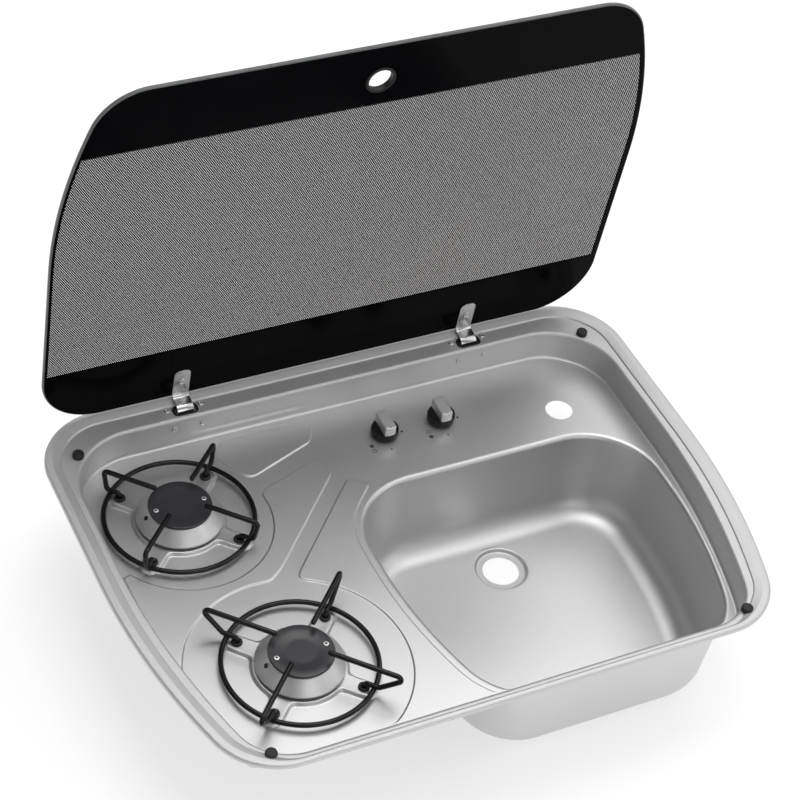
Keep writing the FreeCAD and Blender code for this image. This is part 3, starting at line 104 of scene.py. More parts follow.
class Slot(Enum):
    """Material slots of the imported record."""

    STEEL = "stainless_steel"
    GLASS = "black_glass"
    ENAMEL = "black_enamel"
    BLACK = "black_plastic"
    GREY = "grey_plastic"
    RUBBER = "black_rubber"
    ZINC = "zinc_steel"
    ALUMINIUM = "burner_aluminium"
    BRASS = "brass"
    COPPER = "copper_pipe"
    SPRING = "spring_steel"


def smoothstep(share: Array) -> Array:
    """Ease from 0 to 1 with level ends: 3 s^2 - 2 s^3."""
    held = np.clip(share, 0.0, 1.0)
    return held * held * (3.0 - 2.0 * held)


def unit(vectors: Array) -> Array:
    """Vectors scaled to length 1 along their last axis."""
    return vectors / np.linalg.norm(vectors, axis=-1, keepdims=True)


def round_angles(steps: int) -> Array:
    """Angles of equal steps round a full turn."""
    return np.linspace(0.0, 2.0 * math.pi, steps, endpoint=False)


@dataclass
class Surface:
    """Points in millimetres, and blocks of faces that each have the same number of corners."""

    points: Array
    blocks: list[Array]

    @classmethod
    def grid(cls, points: Array, wrap_rows: bool = False, wrap_columns: bool = False) -> "Surface":
        """Quads over a grid of points, each cell between two rows and two columns.

        Args:
            points: Rows by columns by 3.
            wrap_rows: Joins the last row to the first.
            wrap_columns: Joins the last column to the first.

        Returns:
            The surface over the grid.
        """
        index = np.arange(points.shape[0] * points.shape[1]).reshape(points.shape[:2])
        if wrap_rows:
            index = np.vstack([index, index[:1]])
        if wrap_columns:
            index = np.hstack([index, index[:, :1]])
        quads = np.stack([index[:-1, :-1], index[:-1, 1:], index[1:, 1:], index[1:, :-1]], axis=-1)
        return cls(points.reshape(-1, 3), [quads.reshape(-1, 4)])

    def __add__(self, other: "Surface") -> "Surface":
        """Both surfaces as one."""
        blocks = self.blocks + [block + len(self.points) for block in other.blocks]
        return Surface(np.vstack([self.points, other.points]), blocks)

    def moved(self, turn: Array, shift: Sequence[float]) -> "Surface":
        """Surface turned by a 3 by 3 matrix, then shifted."""
        return Surface(self.points @ np.asarray(turn).T + np.asarray(shift), self.blocks)

    def write(self, name: str, closed: bool = True, crease: float = 40.0) -> bpy.types.Object:
        """Put the surface into a mesh object in metres, with doubles merged and smooth shading.

        Args:
            name: Name of the object.
            closed: The surface is a closed shell, so its faces are turned outwards.
            crease: Edges with a sharper bend than this, in degrees, stay sharp.

        Returns:
            The linked object.
        """
        mesh = bpy.data.meshes.new(name)
        faces = [face for block in self.blocks for face in block.tolist()]
        mesh.from_pydata((self.points * MM).tolist(), [], faces)
        model = bmesh.new()
        model.from_mesh(mesh)
        bmesh.ops.remove_doubles(model, verts=model.verts, dist=WELD)
        bmesh.ops.dissolve_degenerate(model, edges=model.edges, dist=LEAST_EDGE)
        bmesh.ops.recalc_face_normals(model, faces=model.faces)
        if not closed and sum(face.normal.z * face.calc_area() for face in model.faces) < 0:
            bmesh.ops.reverse_faces(model, faces=model.faces)
        model.to_mesh(mesh)
        model.free()
        mesh.polygons.foreach_set("use_smooth", np.ones(len(mesh.polygons), dtype=bool))
        mesh.set_sharp_from_angle(angle=math.radians(crease))
        mark_open_edges(mesh)
        thing = bpy.data.objects.new(name, mesh)
        bpy.context.scene.collection.objects.link(thing)
        return thing


def joined(surfaces: Iterable[Surface]) -> Surface:
    """Several surfaces as one, in their order."""
    return reduce(Surface.__add__, surfaces)


def mark_open_edges(mesh: bpy.types.Mesh) -> None:
    """Keep the edges that only one face has sharp, so that a sheet's cut edge doesn't shade its faces.

    Args:
        mesh: Mesh whose other sharp edges are already set.
    """
    uses = np.empty(len(mesh.loops), dtype=np.int32)
    mesh.loops.foreach_get("edge_index", uses)
    sharp = mesh.attributes.get("sharp_edge") or mesh.attributes.new("sharp_edge", "BOOLEAN", "EDGE")
    flags = np.empty(len(mesh.edges), dtype=bool)
    sharp.data.foreach_get("value", flags)
    sharp.data.foreach_set("value", flags | (np.bincount(uses, minlength=len(flags)) == 1))


def turned(profile: Array, centre: Point = (0.0, 0.0), steps: int = 72) -> Surface:
    """Surface of revolution: (r, z) pairs go to (cx + r cos a, cy + r sin a, z).

    Args:
        profile: Radius and height pairs.
        centre: Plan place of the upright axis.
        steps: Number of steps round the axis.

    Returns:
        The turned surface.
    """
    angle = round_angles(steps)
    radius, height = profile[:, :1], profile[:, 1:]
    across = centre[0] + radius * np.cos(angle)
    along = centre[1] + radius * np.sin(angle)
    return Surface.grid(np.stack([across, along, height + 0.0 * angle], axis=-1), wrap_columns=True)


def filleted(corners: Sequence[Sequence[float]], radius: float | Sequence[float], steps: int = 6,
             closed: bool = False) -> Array:
    """Line through corners, each replaced by an arc tangent to both of its sides.

    With unit vectors b back and a ahead and half of their angle h, the arc's centre lies r / sin h along
    a + b, and the arc goes from r / tan h along b to r / tan h along a.

    Args:
        corners: Points in the plane or in space.
        radius: One radius, or one for each corner; 0 keeps the corner.
        steps: Points along each arc, less one.
        closed: The line closes on itself.

    Returns:
        Points along the line.
    """
    spots = np.asarray(corners, dtype=float)
    radii = np.broadcast_to(np.asarray(radius, dtype=float), (len(spots),))
    runs = []
    for index, (spot, size) in enumerate(zip(spots, radii)):
        inner = closed or 0 < index < len(spots) - 1
        if not inner or size <= 0:
            runs.append(spot[None])
            continue
        back = unit(spots[index - 1] - spot)
        ahead = unit(spots[(index + 1) % len(spots)] - spot)
        half = math.acos(float(np.clip(back @ ahead, -1.0, 1.0))) / 2
        centre = spot + unit(back + ahead) * (size / math.sin(half))
        begin, end = (spot + way * (size / math.tan(half)) - centre for way in (back, ahead))
        sweep = math.pi - 2 * half
        share = np.linspace(0.0, 1.0, steps + 1)[:, None]
        runs.append(centre + (np.sin((1 - share) * sweep) * begin + np.sin(share * sweep) * end)
                    / math.sin(sweep))
    return np.vstack(runs)


def wire(path: Array, normal: Array, radius: float, sides: int, closed: bool = False,
         tip_steps: int = 6) -> Surface:
    """Round bar along a path: c + q (cos f n + sin f t x n), with rounded tips where it is open.

    Args:
        path: Points in space, in one plane or at a small slope to it.
        normal: Unit normal n of that plane.
        radius: Radius q of the bar.
        sides: Points round the bar.
        closed: The path is a ring.
        tip_steps: Rows on each rounded tip.

    Returns:
        The bar's surface.
    """
    if closed:
        tangent = unit(np.roll(path, -1, axis=0) - np.roll(path, 1, axis=0))
        swell = np.ones(len(path))
        centres = path
    else:
        tip = np.radians(np.linspace(90.0, 0.0, tip_steps, endpoint=False))
        inner = unit(np.gradient(path, axis=0))
        head = path[0] - inner[0] * (radius * np.sin(tip))[:, None]
        tail = path[-1] + inner[-1] * (radius * np.sin(tip[::-1]))[:, None]
        centres = np.vstack([head, path, tail])
        tangent = np.vstack([np.repeat(inner[:1], tip_steps, axis=0), inner,
                             np.repeat(inner[-1:], tip_steps, axis=0)])
        swell = np.concatenate([np.cos(tip), np.ones(len(path)), np.cos(tip[::-1])])
    across = np.cross(tangent, normal)
    turn = round_angles(sides)[None, :, None]
    ring = np.cos(turn) * normal + np.sin(turn) * across[:, None]
    points = centres[:, None] + radius * swell[:, None, None] * ring
    return Surface.grid(points, wrap_rows=closed, wrap_columns=True)


def inside(spots: Array, loop: Array) -> Array:
    """True for each spot that a closed line goes round: an odd number of its sides lie to the right.

    Args:
        spots: Plan points.
        loop: Closed line.

    Returns:
        One truth value for each spot.
    """
    ends = np.roll(loop, -1, axis=0)
    x, y = spots[:, :1], spots[:, 1:]
    crosses = (loop[:, 1] > y) != (ends[:, 1] > y)
    rise = np.where(ends[:, 1] == loop[:, 1], 1e-9, ends[:, 1] - loop[:, 1])
    meet = loop[:, 0] + (y - loop[:, 1]) * (ends[:, 0] - loop[:, 0]) / rise
    return (crosses & (x < meet)).sum(axis=1) % 2 == 1


def distance_to(spots: Array, loop: Array) -> Array:
    """Signed distance of spots to a closed line, negative inside: least distance to its straight sides.

    Args:
        spots: Plan points.
        loop: Closed line.

    Returns:
        One distance for each spot.
    """
    ends = np.roll(loop, -1, axis=0)
    side = ends - loop
    gap = spots[:, None] - loop
    share = np.clip((gap * side).sum(-1) / (side * side).sum(-1), 0.0, 1.0)
    least = np.linalg.norm(gap - share[..., None] * side, axis=-1).min(axis=1)
    return np.where(inside(spots, loop), -least, least)


def outwards(loop: Array) -> Array:
    """Outward normals of an anticlockwise closed line, from the chord between the neighbours."""
    chord = unit(np.roll(loop, -1, axis=0) - np.roll(loop, 1, axis=0))
    return np.stack([chord[:, 1], -chord[:, 0]], axis=-1)


def eased_loop(corners: Sequence[Point], pitch: float, softness: float) -> Array:
    """Closed line through corners, spaced evenly and blurred along its length by a Gaussian.

    Args:
        corners: Corner points, anticlockwise or clockwise.
        pitch: Spacing of the new points.
        softness: Standard deviation of the blur, which sets how round the corners get.

    Returns:
        Points of the eased line, anticlockwise.
    """
    ring = np.vstack([corners, corners[:1]])
    run = np.concatenate([[0.0], np.cumsum(np.linalg.norm(np.diff(ring, axis=0), axis=1))])
    count = int(run[-1] / pitch)
    spots = np.linspace(0.0, run[-1], count, endpoint=False)
    line = np.stack([np.interp(spots, run, ring[:, axis]) for axis in (0, 1)], axis=-1)
    blur = np.exp(-2.0 * (math.pi * np.fft.fftfreq(count) * softness * count / run[-1]) ** 2)
    eased = np.real(np.fft.ifft(np.fft.fft(line, axis=0) * blur[:, None], axis=0))
    ahead = np.roll(eased, -1, axis=0)
    area = (eased[:, 0] * ahead[:, 1] - eased[:, 1] * ahead[:, 0]).sum()
    return eased if area > 0 else eased[::-1]


def circle(centre: Point, radius: float, steps: int = 48) -> Array:
    """Closed ring of points: centre + r (cos a, sin a)."""
    angle = round_angles(steps)
    return np.asarray(centre) + radius * np.stack([np.cos(angle), np.sin(angle)], axis=-1)


def arc(centre: Point, radius: float, first: float, last: float, steps: int = 40) -> Array:
    """Points along a circle between two angles in degrees, both ends included."""
    angle = np.radians(np.linspace(first, last, steps))
    return np.asarray(centre) + radius * np.stack([np.cos(angle), np.sin(angle)], axis=-1)


def oblong(centre: Point, half: Point, corner: float, steps: int = 6) -> Array:
    """Closed rectangle with rounded corners, anticlockwise."""
    signs = np.array([(-1.0, -1.0), (1.0, -1.0), (1.0, 1.0), (-1.0, 1.0)])
    return filleted(np.asarray(centre) + signs * np.asarray(half), corner, steps, closed=True)


def stacked(loops: Sequence[Array], levels: Sequence[float], wrap: bool = False) -> Surface:
    """Strip through closed plan lines of equal length, each at its own height."""
    rows = [np.column_stack([loop, np.full(len(loop), level)]) for loop, level in zip(loops, levels)]
    return Surface.grid(np.stack(rows), wrap_rows=wrap, wrap_columns=True)


@dataclass(frozen=True)
class Screw:
    """Pan-head screw along Z with its seat at the origin and a cross recess in its dome."""

    head: float
    rise: float
    shank: float
    length: float
    skirt_share: float = 0.35
    arm_half: float = 0.20
    arm_reach: float = 0.62
    arm_ease: float = 0.16
    recess_share: float = 0.55
    lowest_share: float = 0.3

    def surface(self) -> Surface:
        """The dome is an ellipse, r = h cos t and z = e (0.35 + 0.65 sin t), turned on a plain shank.

        Within the arms of the cross it sinks by 0.55 e, eased at the arms' edges.

        Returns:
            The closed screw.
        """
        tilt = np.radians(np.linspace(0.0, 90.0, 16))
        height = self.rise * (self.skirt_share + (1.0 - self.skirt_share) * np.sin(tilt))
        dome = np.column_stack([self.head * np.cos(tilt), height])
        stem = [(0.0, -self.length), (self.shank, -self.length), (self.shank, 0.0), (self.head, 0.0)]
        whole = turned(np.vstack([stem, dome]), steps=48)
        across = np.abs(whole.points[:, :2]) / self.head
        arm = smoothstep((self.arm_half - across.min(axis=1)) / self.arm_ease + 0.5)
        reach = smoothstep((self.arm_reach - across.max(axis=1)) / self.arm_ease + 0.5)
        upper = whole.points[:, 2] > self.lowest_share * self.rise
        whole.points[:, 2] -= self.recess_share * self.rise * arm * reach * upper
        return whole


def flat_fill(edge: Array, holes: Sequence[Array], lines: Sequence[Array] = ()) -> tuple[Array, Array]:
    """Triangles between a closed edge and its holes that keep every line as an edge of the net.

    Args:
        edge: Outer closed line.
        holes: Closed lines that bound the holes.
        lines: More closed lines that the net follows.

    Returns:
        Plan points, and triangles that turn anticlockwise.
    """
    loops = [edge, *holes, *lines]
    starts = np.cumsum([0] + [len(loop) for loop in loops])
    sides = [np.stack([np.arange(len(loop)), np.roll(np.arange(len(loop)), -1)], axis=-1) + start
             for loop, start in zip(loops, starts)]
    net = delaunay_2d_cdt(np.vstack(loops).tolist(), np.vstack(sides).tolist(), [], 0, NET_MERGE, False)
    points = np.array([tuple(spot) for spot in net[0]])
    faces = np.array(net[2])
    one, two, three = (points[faces[:, corner]] for corner in range(3))
    turn = (two - one)[:, 0] * (three - one)[:, 1] - (two - one)[:, 1] * (three - one)[:, 0]
    faces = np.where((turn < 0)[:, None], faces[:, ::-1], faces)
    middle = (one + two + three) / 3
    keep = inside(middle, edge) & (np.abs(turn) > LEAST_AREA)
    for hole in holes:
        keep &= ~inside(middle, hole)
    return points, faces[keep]


@dataclass(frozen=True)
class Outline:
    """Plan outline with straight rear and front edges and sides that curve in towards the front."""

    half: float
    rear: float
    front: float
    rear_corner: float
    side_start: float
    side_radius: float
    front_corner: float
    middle: float = 0.0
    counts: tuple[int, ...] = (26, 16, 28, 12, 20, 54)

    @lru_cache
    def sampled(self) -> tuple[Array, Array]:
        """Points and outward normals, anticlockwise from the middle of the front edge.

        Each half is a line, the front corner's arc, the side's arc, a line, the rear corner's arc and a
        line, every one tangent to the next; an arc's point is its centre plus its radius times its normal.

        Returns:
            Points and normals, the same number for every outline.
        """
        low = self.front + self.front_corner
        out = self.half - self.side_radius + math.sqrt(
            (self.side_radius - self.front_corner) ** 2 - (low - self.side_start) ** 2)
        turn = math.atan2(self.side_start - low, out - self.half + self.side_radius)
        quarter = math.pi / 2
        hub = (self.half - self.side_radius, self.side_start)
        inner = (self.half - self.rear_corner, self.rear - self.rear_corner)
        arms = [((0.0, self.front), (out, self.front), 0.0, -quarter, -quarter),
                ((out, low), (out, low), self.front_corner, -quarter, -turn),
                (hub, hub, self.side_radius, -turn, 0.0),
                ((self.half, self.side_start), (self.half, inner[1]), 0.0, 0.0, 0.0),
                (inner, inner, self.rear_corner, 0.0, quarter),
                ((inner[0], self.rear), (0.0, self.rear), 0.0, quarter, quarter)]
        spots, ways = [], []
        for (begin, end, radius, first, last), count in zip(arms, self.counts):
            share = np.linspace(0.0, 1.0, count, endpoint=False)[:, None]
            angle = first + (last - first) * share
            way = np.hstack([np.cos(angle), np.sin(angle)])
            spots.append(np.asarray(begin) * (1 - share) + np.asarray(end) * share + radius * way)
            ways.append(way)
        spots.append(np.array([[0.0, self.rear]]))
        ways.append(np.array([[0.0, 1.0]]))
        right, normal = np.vstack(spots), np.vstack(ways)
        mirror = np.array([-1.0, 1.0])
        points = np.vstack([right, (right * mirror)[-2:0:-1]]) + np.array([self.middle, 0.0])
        return points, np.vstack([normal, (normal * mirror)[-2:0:-1]])

    def offset(self, outset: float | Array) -> Array:
        """Outline moved outwards along its normals, by one distance or one for each point."""
        points, normals = self.sampled()
        return points + normals * np.reshape(outset, (-1, 1))

    def loft(self, insets: Array, levels: Array) -> Surface:
        """Strip through copies of the outline, one for each row of insets and levels.

        Args:
            insets: Distance inwards for each row, or for each row and point.
            levels: Height of each row, or of each row and point.

        Returns:
            The closed strip.
        """
        points, normals = self.sampled()
        shape = (len(insets), len(points))
        inset = np.broadcast_to(np.reshape(insets, (shape[0], -1)), shape)[..., None]
        level = np.broadcast_to(np.reshape(levels, (shape[0], -1)), shape)[..., None]
        return Surface.grid(np.concatenate([points - inset * normals, level], axis=-1), wrap_columns=True)


class Recipe:
    """A procedural material round one Principled shader, read on Object coordinates."""

    colour_sockets: tuple[int, int, int] = (6, 7, 2)

    def __init__(self, name: str) -> None:
        """Start a material with its shader and its coordinates."""
        self.material = bpy.data.materials.new(name)
        self.material.use_nodes = True
        self.tree = self.material.node_tree
        self.shader = self.tree.nodes["Principled BSDF"]
        self.place = self.add("ShaderNodeTexCoord").outputs["Object"]

    def add(self, kind: str, **settings: object) -> bpy.types.Node:
        """New node with the named properties set.

        Args:
            kind: Type of the node.
            settings: Properties and their values.

        Returns:
            The node.
        """
        node = self.tree.nodes.new(kind)
        for key, value in settings.items():
            setattr(node, key, value)
        return node

    def link(self, source: bpy.types.NodeSocket, target: bpy.types.NodeSocket) -> None:
        """Join two sockets."""
        self.tree.links.new(source, target)

    def constants(self, **values: object) -> None:
        """Set the shader's own sockets; an underscore in a name stands for a space."""
        for key, value in values.items():
            self.shader.inputs[key.replace("_", " ")].default_value = value

    def feed(self, socket: str, source: bpy.types.NodeSocket) -> None:
        """Drive one of the shader's sockets."""
        self.link(source, self.shader.inputs[socket])

    def stretched(self, stretch: tuple[float, float, float]) -> bpy.types.NodeSocket:
        """Object coordinates multiplied along each axis.

        Args:
            stretch: Factors along X, Y and Z.

        Returns:
            The new coordinates.
        """
        mapping = self.add("ShaderNodeMapping", vector_type="POINT")
        mapping.inputs["Scale"].default_value = stretch
        self.link(self.place, mapping.inputs["Vector"])
        return mapping.outputs["Vector"]

    def noise(self, scale: float, detail: float = 3.0, roughness: float = 0.55,
              source: bpy.types.NodeSocket | None = None) -> bpy.types.NodeSocket:
        """Soft noise between 0 and 1.

        Args:
            scale: Cells to the metre.
            detail: Finer layers added to the first.
            roughness: Share of each finer layer.
            source: Coordinates; the object's own if not given.

        Returns:
            The noise as a value.
        """
        node = self.add("ShaderNodeTexNoise", noise_dimensions="3D")
        node.inputs["Scale"].default_value = scale
        node.inputs["Detail"].default_value = detail
        node.inputs["Roughness"].default_value = roughness
        self.link(source or self.place, node.inputs["Vector"])
        return node.outputs["Fac"]

    def spread(self, source: bpy.types.NodeSocket, low: float, high: float,
               start: float = 0.25, end: float = 0.75) -> bpy.types.NodeSocket:
        """Value carried from the range start to end over to low to high, and held at both ends.

        Args:
            source: Value to carry over.
            low: Result at the start.
            high: Result at the end.
            start: Value that gives low.
            end: Value that gives high.

        Returns:
            The carried value.
        """
        node = self.add("ShaderNodeMapRange")
        for key, value in (("From Min", start), ("From Max", end), ("To Min", low), ("To Max", high)):
            node.inputs[key].default_value = value
        self.link(source, node.inputs["Value"])
        return node.outputs["Result"]

    def blend(self, source: bpy.types.NodeSocket, low: Colour, high: Colour) -> bpy.types.NodeSocket:
        """Colour between two, by a value from 0 to 1.

        Args:
            source: Share of the second colour.
            low: Colour at 0.
            high: Colour at 1.

        Returns:
            The mixed colour.
        """
        node = self.add("ShaderNodeMix", data_type="RGBA")
        self.link(source, node.inputs["Factor"])
        first, second, result = self.colour_sockets
        node.inputs[first].default_value = (*low, 1.0)
        node.inputs[second].default_value = (*high, 1.0)
        return node.outputs[result]

    def math(self, operation: str, *values: bpy.types.NodeSocket | float) -> bpy.types.NodeSocket:
        """Result of one sum on sockets and numbers.

        Args:
            operation: Name of the sum.
            values: Sockets or plain numbers, in order.

        Returns:
            The result.
        """
        node = self.add("ShaderNodeMath", operation=operation)
        for index, value in enumerate(values):
            if isinstance(value, (int, float)):
                node.inputs[index].default_value = value
            else:
                self.link(value, node.inputs[index])
        return node.outputs["Value"]

    def relief(self, height: bpy.types.NodeSocket, depth: float, strength: float = 1.0,
               under: bpy.types.NodeSocket | None = None) -> bpy.types.NodeSocket:
        """Bumped normal from a height, over another normal if given.

        Args:
            height: Height from 0 to 1.
            depth: Size of that height in metres.
            strength: Share of the bump that is used.
            under: Normal that the bump lies on.

        Returns:
            The bumped normal.
        """
        node = self.add("ShaderNodeBump")
        node.inputs["Strength"].default_value = strength
        node.inputs["Distance"].default_value = depth
        self.link(height, node.inputs["Height"])
        if under is not None:
            self.link(under, node.inputs["Normal"])
        return node.outputs["Normal"]


@dataclass(frozen=True)
class Metal:
    """Bare or plated metal: a fine drawn grain, slow changes of gloss and, if asked, a rougher rim."""

    name: str
    colour: Colour
    shade: Colour
    roughness: float
    grain: tuple[float, float, float] = (30.0, 400.0, 400.0)
    unevenness: float = 0.06
    ripple: float = 0.00002
    rim_brushing: float = 0.0
    rim_levels: tuple[float, float] = (-0.008, -0.001)
    grain_share: float = 0.6
    cloud_scale: float = 9.0
    wave_scale: float = 14.0
    wave_gain: float = 6.0
    grain_bump: float = 0.5
    mixed_range: tuple[float, float] = (0.3, 0.7)

    @lru_cache
    def material(self) -> bpy.types.Material:
        """The finish as a material: grain in colour and roughness, a slow ripple in the normal.

        Returns:
            The material, the same one on each call.
        """
        recipe = Recipe(self.name)
        grain = recipe.noise(1.0, 4.0, 0.6, recipe.stretched(self.grain))
        cloud = recipe.noise(self.cloud_scale, 2.0)
        mixed = recipe.math("ADD", recipe.math("MULTIPLY", grain, self.grain_share),
                            recipe.math("MULTIPLY", cloud, 1.0 - self.grain_share))
        tint = recipe.spread(mixed, 0.0, 1.0, *self.mixed_range)
        recipe.feed("Base Color", recipe.blend(tint, self.shade, self.colour))
        rough = recipe.spread(mixed, self.roughness - self.unevenness, self.roughness + self.unevenness,
                              *self.mixed_range)
        if self.rim_brushing:
            split = recipe.add("ShaderNodeSeparateXYZ")
            recipe.link(recipe.place, split.inputs["Vector"])
            brushed = recipe.spread(split.outputs["Z"], 0.0, self.rim_brushing, *self.rim_levels)
            rough = recipe.math("ADD", rough, brushed)
        recipe.feed("Roughness", rough)
        slow = recipe.relief(recipe.noise(self.wave_scale, 1.0, 0.4), self.ripple * self.wave_gain)
        recipe.feed("Normal", recipe.relief(grain, self.ripple, self.grain_bump, slow))
        recipe.constants(Metallic=1.0)
        return recipe.material


@dataclass(frozen=True)
class Coating:
    """Enamel, moulded plastic or rubber: a tinted skin with a fine texture."""

    name: str
    colour: Colour
    shade: Colour
    roughness: float
    texture: float = 900.0
    depth: float = 0.00003
    gloss: float = 0.5
    unevenness: float = 0.06
    mottle_scale: float = 60.0
    texture_bump: float = 0.6

    @lru_cache
    def material(self) -> bpy.types.Material:
        """The finish as a material: mottled colour, uneven gloss and a textured normal.

        Returns:
            The material, the same one on each call.
        """
        recipe = Recipe(self.name)
        mottle = recipe.noise(self.mottle_scale, 4.0)
        fine = recipe.noise(self.texture, 3.0, 0.6)
        recipe.feed("Base Color", recipe.blend(recipe.spread(mottle, 0.0, 1.0), self.shade, self.colour))
        recipe.feed("Roughness", recipe.spread(mottle, self.roughness - self.unevenness,
                                               self.roughness + self.unevenness))
        recipe.feed("Normal", recipe.relief(fine, self.depth, self.texture_bump))
        recipe.constants(Specular_IOR_Level=self.gloss)
        return recipe.material


@dataclass(frozen=True)
class PrintedGlass:
    """Toughened glass printed black, solid or as a screen of small clear dots."""

    name: str
    pitch: float = 0.0
    dot: float = 0.0
    haze: float = 1.0
    colour: Colour = (0.0014, 0.0014, 0.0018)
    gloss: float = 0.02
    refraction: float = 1.5
    cloud_scale: float = 12.0
    cloud_gain: float = 1.6
    smear_scale: float = 5.0
    smear: tuple[float, float] = (0.08, 0.14)
    cells_below: float = 100.0

    @lru_cache
    def material(self) -> bpy.types.Material:
        """The print under a glossy face; on a screen, alpha is 0 in dots on a staggered net of the UV map.

        Returns:
            The material, the same one on each call.
        """
        recipe = Recipe(self.name)
        cloud = recipe.noise(self.cloud_scale, 2.0)
        light = tuple(channel * self.cloud_gain for channel in self.colour)
        recipe.feed("Base Color", recipe.blend(recipe.spread(cloud, 0.0, 1.0), self.colour, light))
        recipe.feed("Roughness", recipe.spread(recipe.noise(self.smear_scale, 3.0), *self.smear))
        recipe.constants(IOR=self.refraction, Specular_IOR_Level=self.gloss, Alpha=self.haze)
        if self.pitch > 0:
            plan = recipe.add("ShaderNodeUVMap", uv_map="lid_plan").outputs["UV"]
            clear = [self.dots(recipe, plan, shift) for shift in (0.0, 0.5)]
            recipe.feed("Alpha", recipe.math("SUBTRACT", 1.0, recipe.math("MAXIMUM", *clear)))
        return recipe.material

    def dots(self, recipe: Recipe, plan: bpy.types.NodeSocket, shift: float) -> bpy.types.NodeSocket:
        """1 within a dot's radius of the points of one oblong net, and 0 elsewhere.

        Args:
            recipe: Material that the nodes go into.
            plan: Lid plan in metres.
            shift: Share of a cell that this net is moved by.

        Returns:
            The dots as a value.
        """
        cell = (self.pitch * MM, self.pitch * math.sqrt(3.0) * MM)
        parts = recipe.add("ShaderNodeSeparateXYZ")
        recipe.link(plan, parts.inputs["Vector"])
        squares = []
        for axis, size in zip("XY", cell):
            share = recipe.math("FRACT", recipe.math("ADD", recipe.math("DIVIDE", parts.outputs[axis], size),
                                                     shift + self.cells_below))
            gap = recipe.math("MULTIPLY", recipe.math("SUBTRACT", share, 0.5), size)
            squares.append(recipe.math("MULTIPLY", gap, gap))
        reach = recipe.math("SQRT", recipe.math("ADD", *squares))
        return recipe.math("LESS_THAN", reach, self.dot * MM)


STEEL = Metal("satin_pressed_steel", (0.66, 0.66, 0.665), (0.62, 0.62, 0.625), 0.45, (60.0, 900.0, 900.0),
              0.04, 0.000004, 0.17)
BRIGHT_STEEL = Metal("bright_plated_steel", (0.66, 0.66, 0.66), (0.55, 0.55, 0.55), 0.24)
ZINC = Metal("satin_zinc_plate", (0.86, 0.86, 0.855), (0.76, 0.76, 0.755), 0.50)
ALUMINIUM = Metal("satin_aluminium", (0.74, 0.74, 0.735), (0.69, 0.69, 0.69), 0.44, (300.0, 300.0, 60.0),
                  0.03, 0.000004)
BRASS = Metal("machined_brass", (0.76, 0.58, 0.28), (0.60, 0.43, 0.18), 0.30)
COPPER = Metal("drawn_copper", (0.72, 0.38, 0.24), (0.52, 0.24, 0.14), 0.32)
SPRING_STEEL = Metal("drawn_spring_wire", (0.55, 0.55, 0.56), (0.42, 0.42, 0.43), 0.28)
ENAMEL = Coating("glossy_black_enamel", (0.005, 0.005, 0.0055), (0.003, 0.003, 0.0033), 0.20, 260.0,
                 0.00002, 0.30, 0.04)
CAP_ENAMEL = Coating("satin_dark_enamel", (0.026, 0.026, 0.029), (0.024, 0.024, 0.027), 0.29, 260.0,
                     0.000006, 0.50, 0.01)
BLACK_PLASTIC = Coating("matt_black_moulding", (0.010, 0.010, 0.011), (0.006, 0.006, 0.0065), 0.42,
                        gloss=0.25)
GREY_PLASTIC = Metal("silver_grey_moulding", (0.74, 0.745, 0.745), (0.69, 0.695, 0.695), 0.50,
                     (300.0, 300.0, 300.0), 0.03, 0.000004)
RUBBER = Coating("black_rubber", (0.016, 0.016, 0.016), (0.009, 0.009, 0.009), 0.55, gloss=0.35)
INK = Coating("dark_print", (0.05, 0.05, 0.052), (0.035, 0.035, 0.037), 0.45, gloss=0.3)
PRINT = PrintedGlass("black_printed_glass")
SCREEN = PrintedGlass("dot_screen_glass", 1.9, 0.42)
CLEAR = PrintedGlass("clear_glass_face", haze=0.05)
GROUND_EDGE = Coating("ground_glass_edge", (0.10, 0.105, 0.105), (0.07, 0.074, 0.074), 0.30, 700.0,
                      gloss=0.3)

FINISHES = {
    Slot.STEEL: STEEL, Slot.GLASS: PRINT, Slot.ENAMEL: ENAMEL, Slot.BLACK: BLACK_PLASTIC,
    Slot.GREY: GREY_PLASTIC, Slot.RUBBER: RUBBER, Slot.ZINC: BRIGHT_STEEL, Slot.ALUMINIUM: ALUMINIUM,
    Slot.BRASS: BRASS, Slot.COPPER: COPPER, Slot.SPRING: SPRING_STEEL,
}


def dress(piece: bpy.types.Object, finish: Metal | Coating | PrintedGlass, body: Body, slot: Slot,
          *nodes: str) -> None:
    """Give a new piece its finish and its body, and hide the CAD nodes it stands for.

    Args:
        piece: Finished object.
        finish: Finish of its first material slot.
        body: Body that it rides on.
        slot: Record slot of the piece; not used.
        nodes: CAD nodes that it replaces.
    """
    if not piece.data.materials:
        piece.data.materials.append(finish.material())
    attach(piece, body.value)
    if nodes:
        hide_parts(*nodes)
    LOG.info("%s rides on %s, %d faces", piece.name, body.value, len(piece.data.polygons))


def seen_rays(tree: bpy.types.NodeTree) -> bpy.types.NodeSocket:
    """1 on the rays that show a surface: from the camera, off a glossy face and through glass.

    Args:
        tree: Node tree that the nodes go into.

    Returns:
        The rays as a value, 0 on all others.
    """
    rays = tree.nodes.new("ShaderNodeLightPath")
    value = rays.outputs["Is Camera Ray"]
    for name in ("Is Glossy Ray", "Is Transmission Ray"):
        either = tree.nodes.new("ShaderNodeMath")
        either.operation = "MAXIMUM"
        tree.links.new(value, either.inputs[0])
        tree.links.new(rays.outputs[name], either.inputs[1])
        value = either.outputs["Value"]
    return value


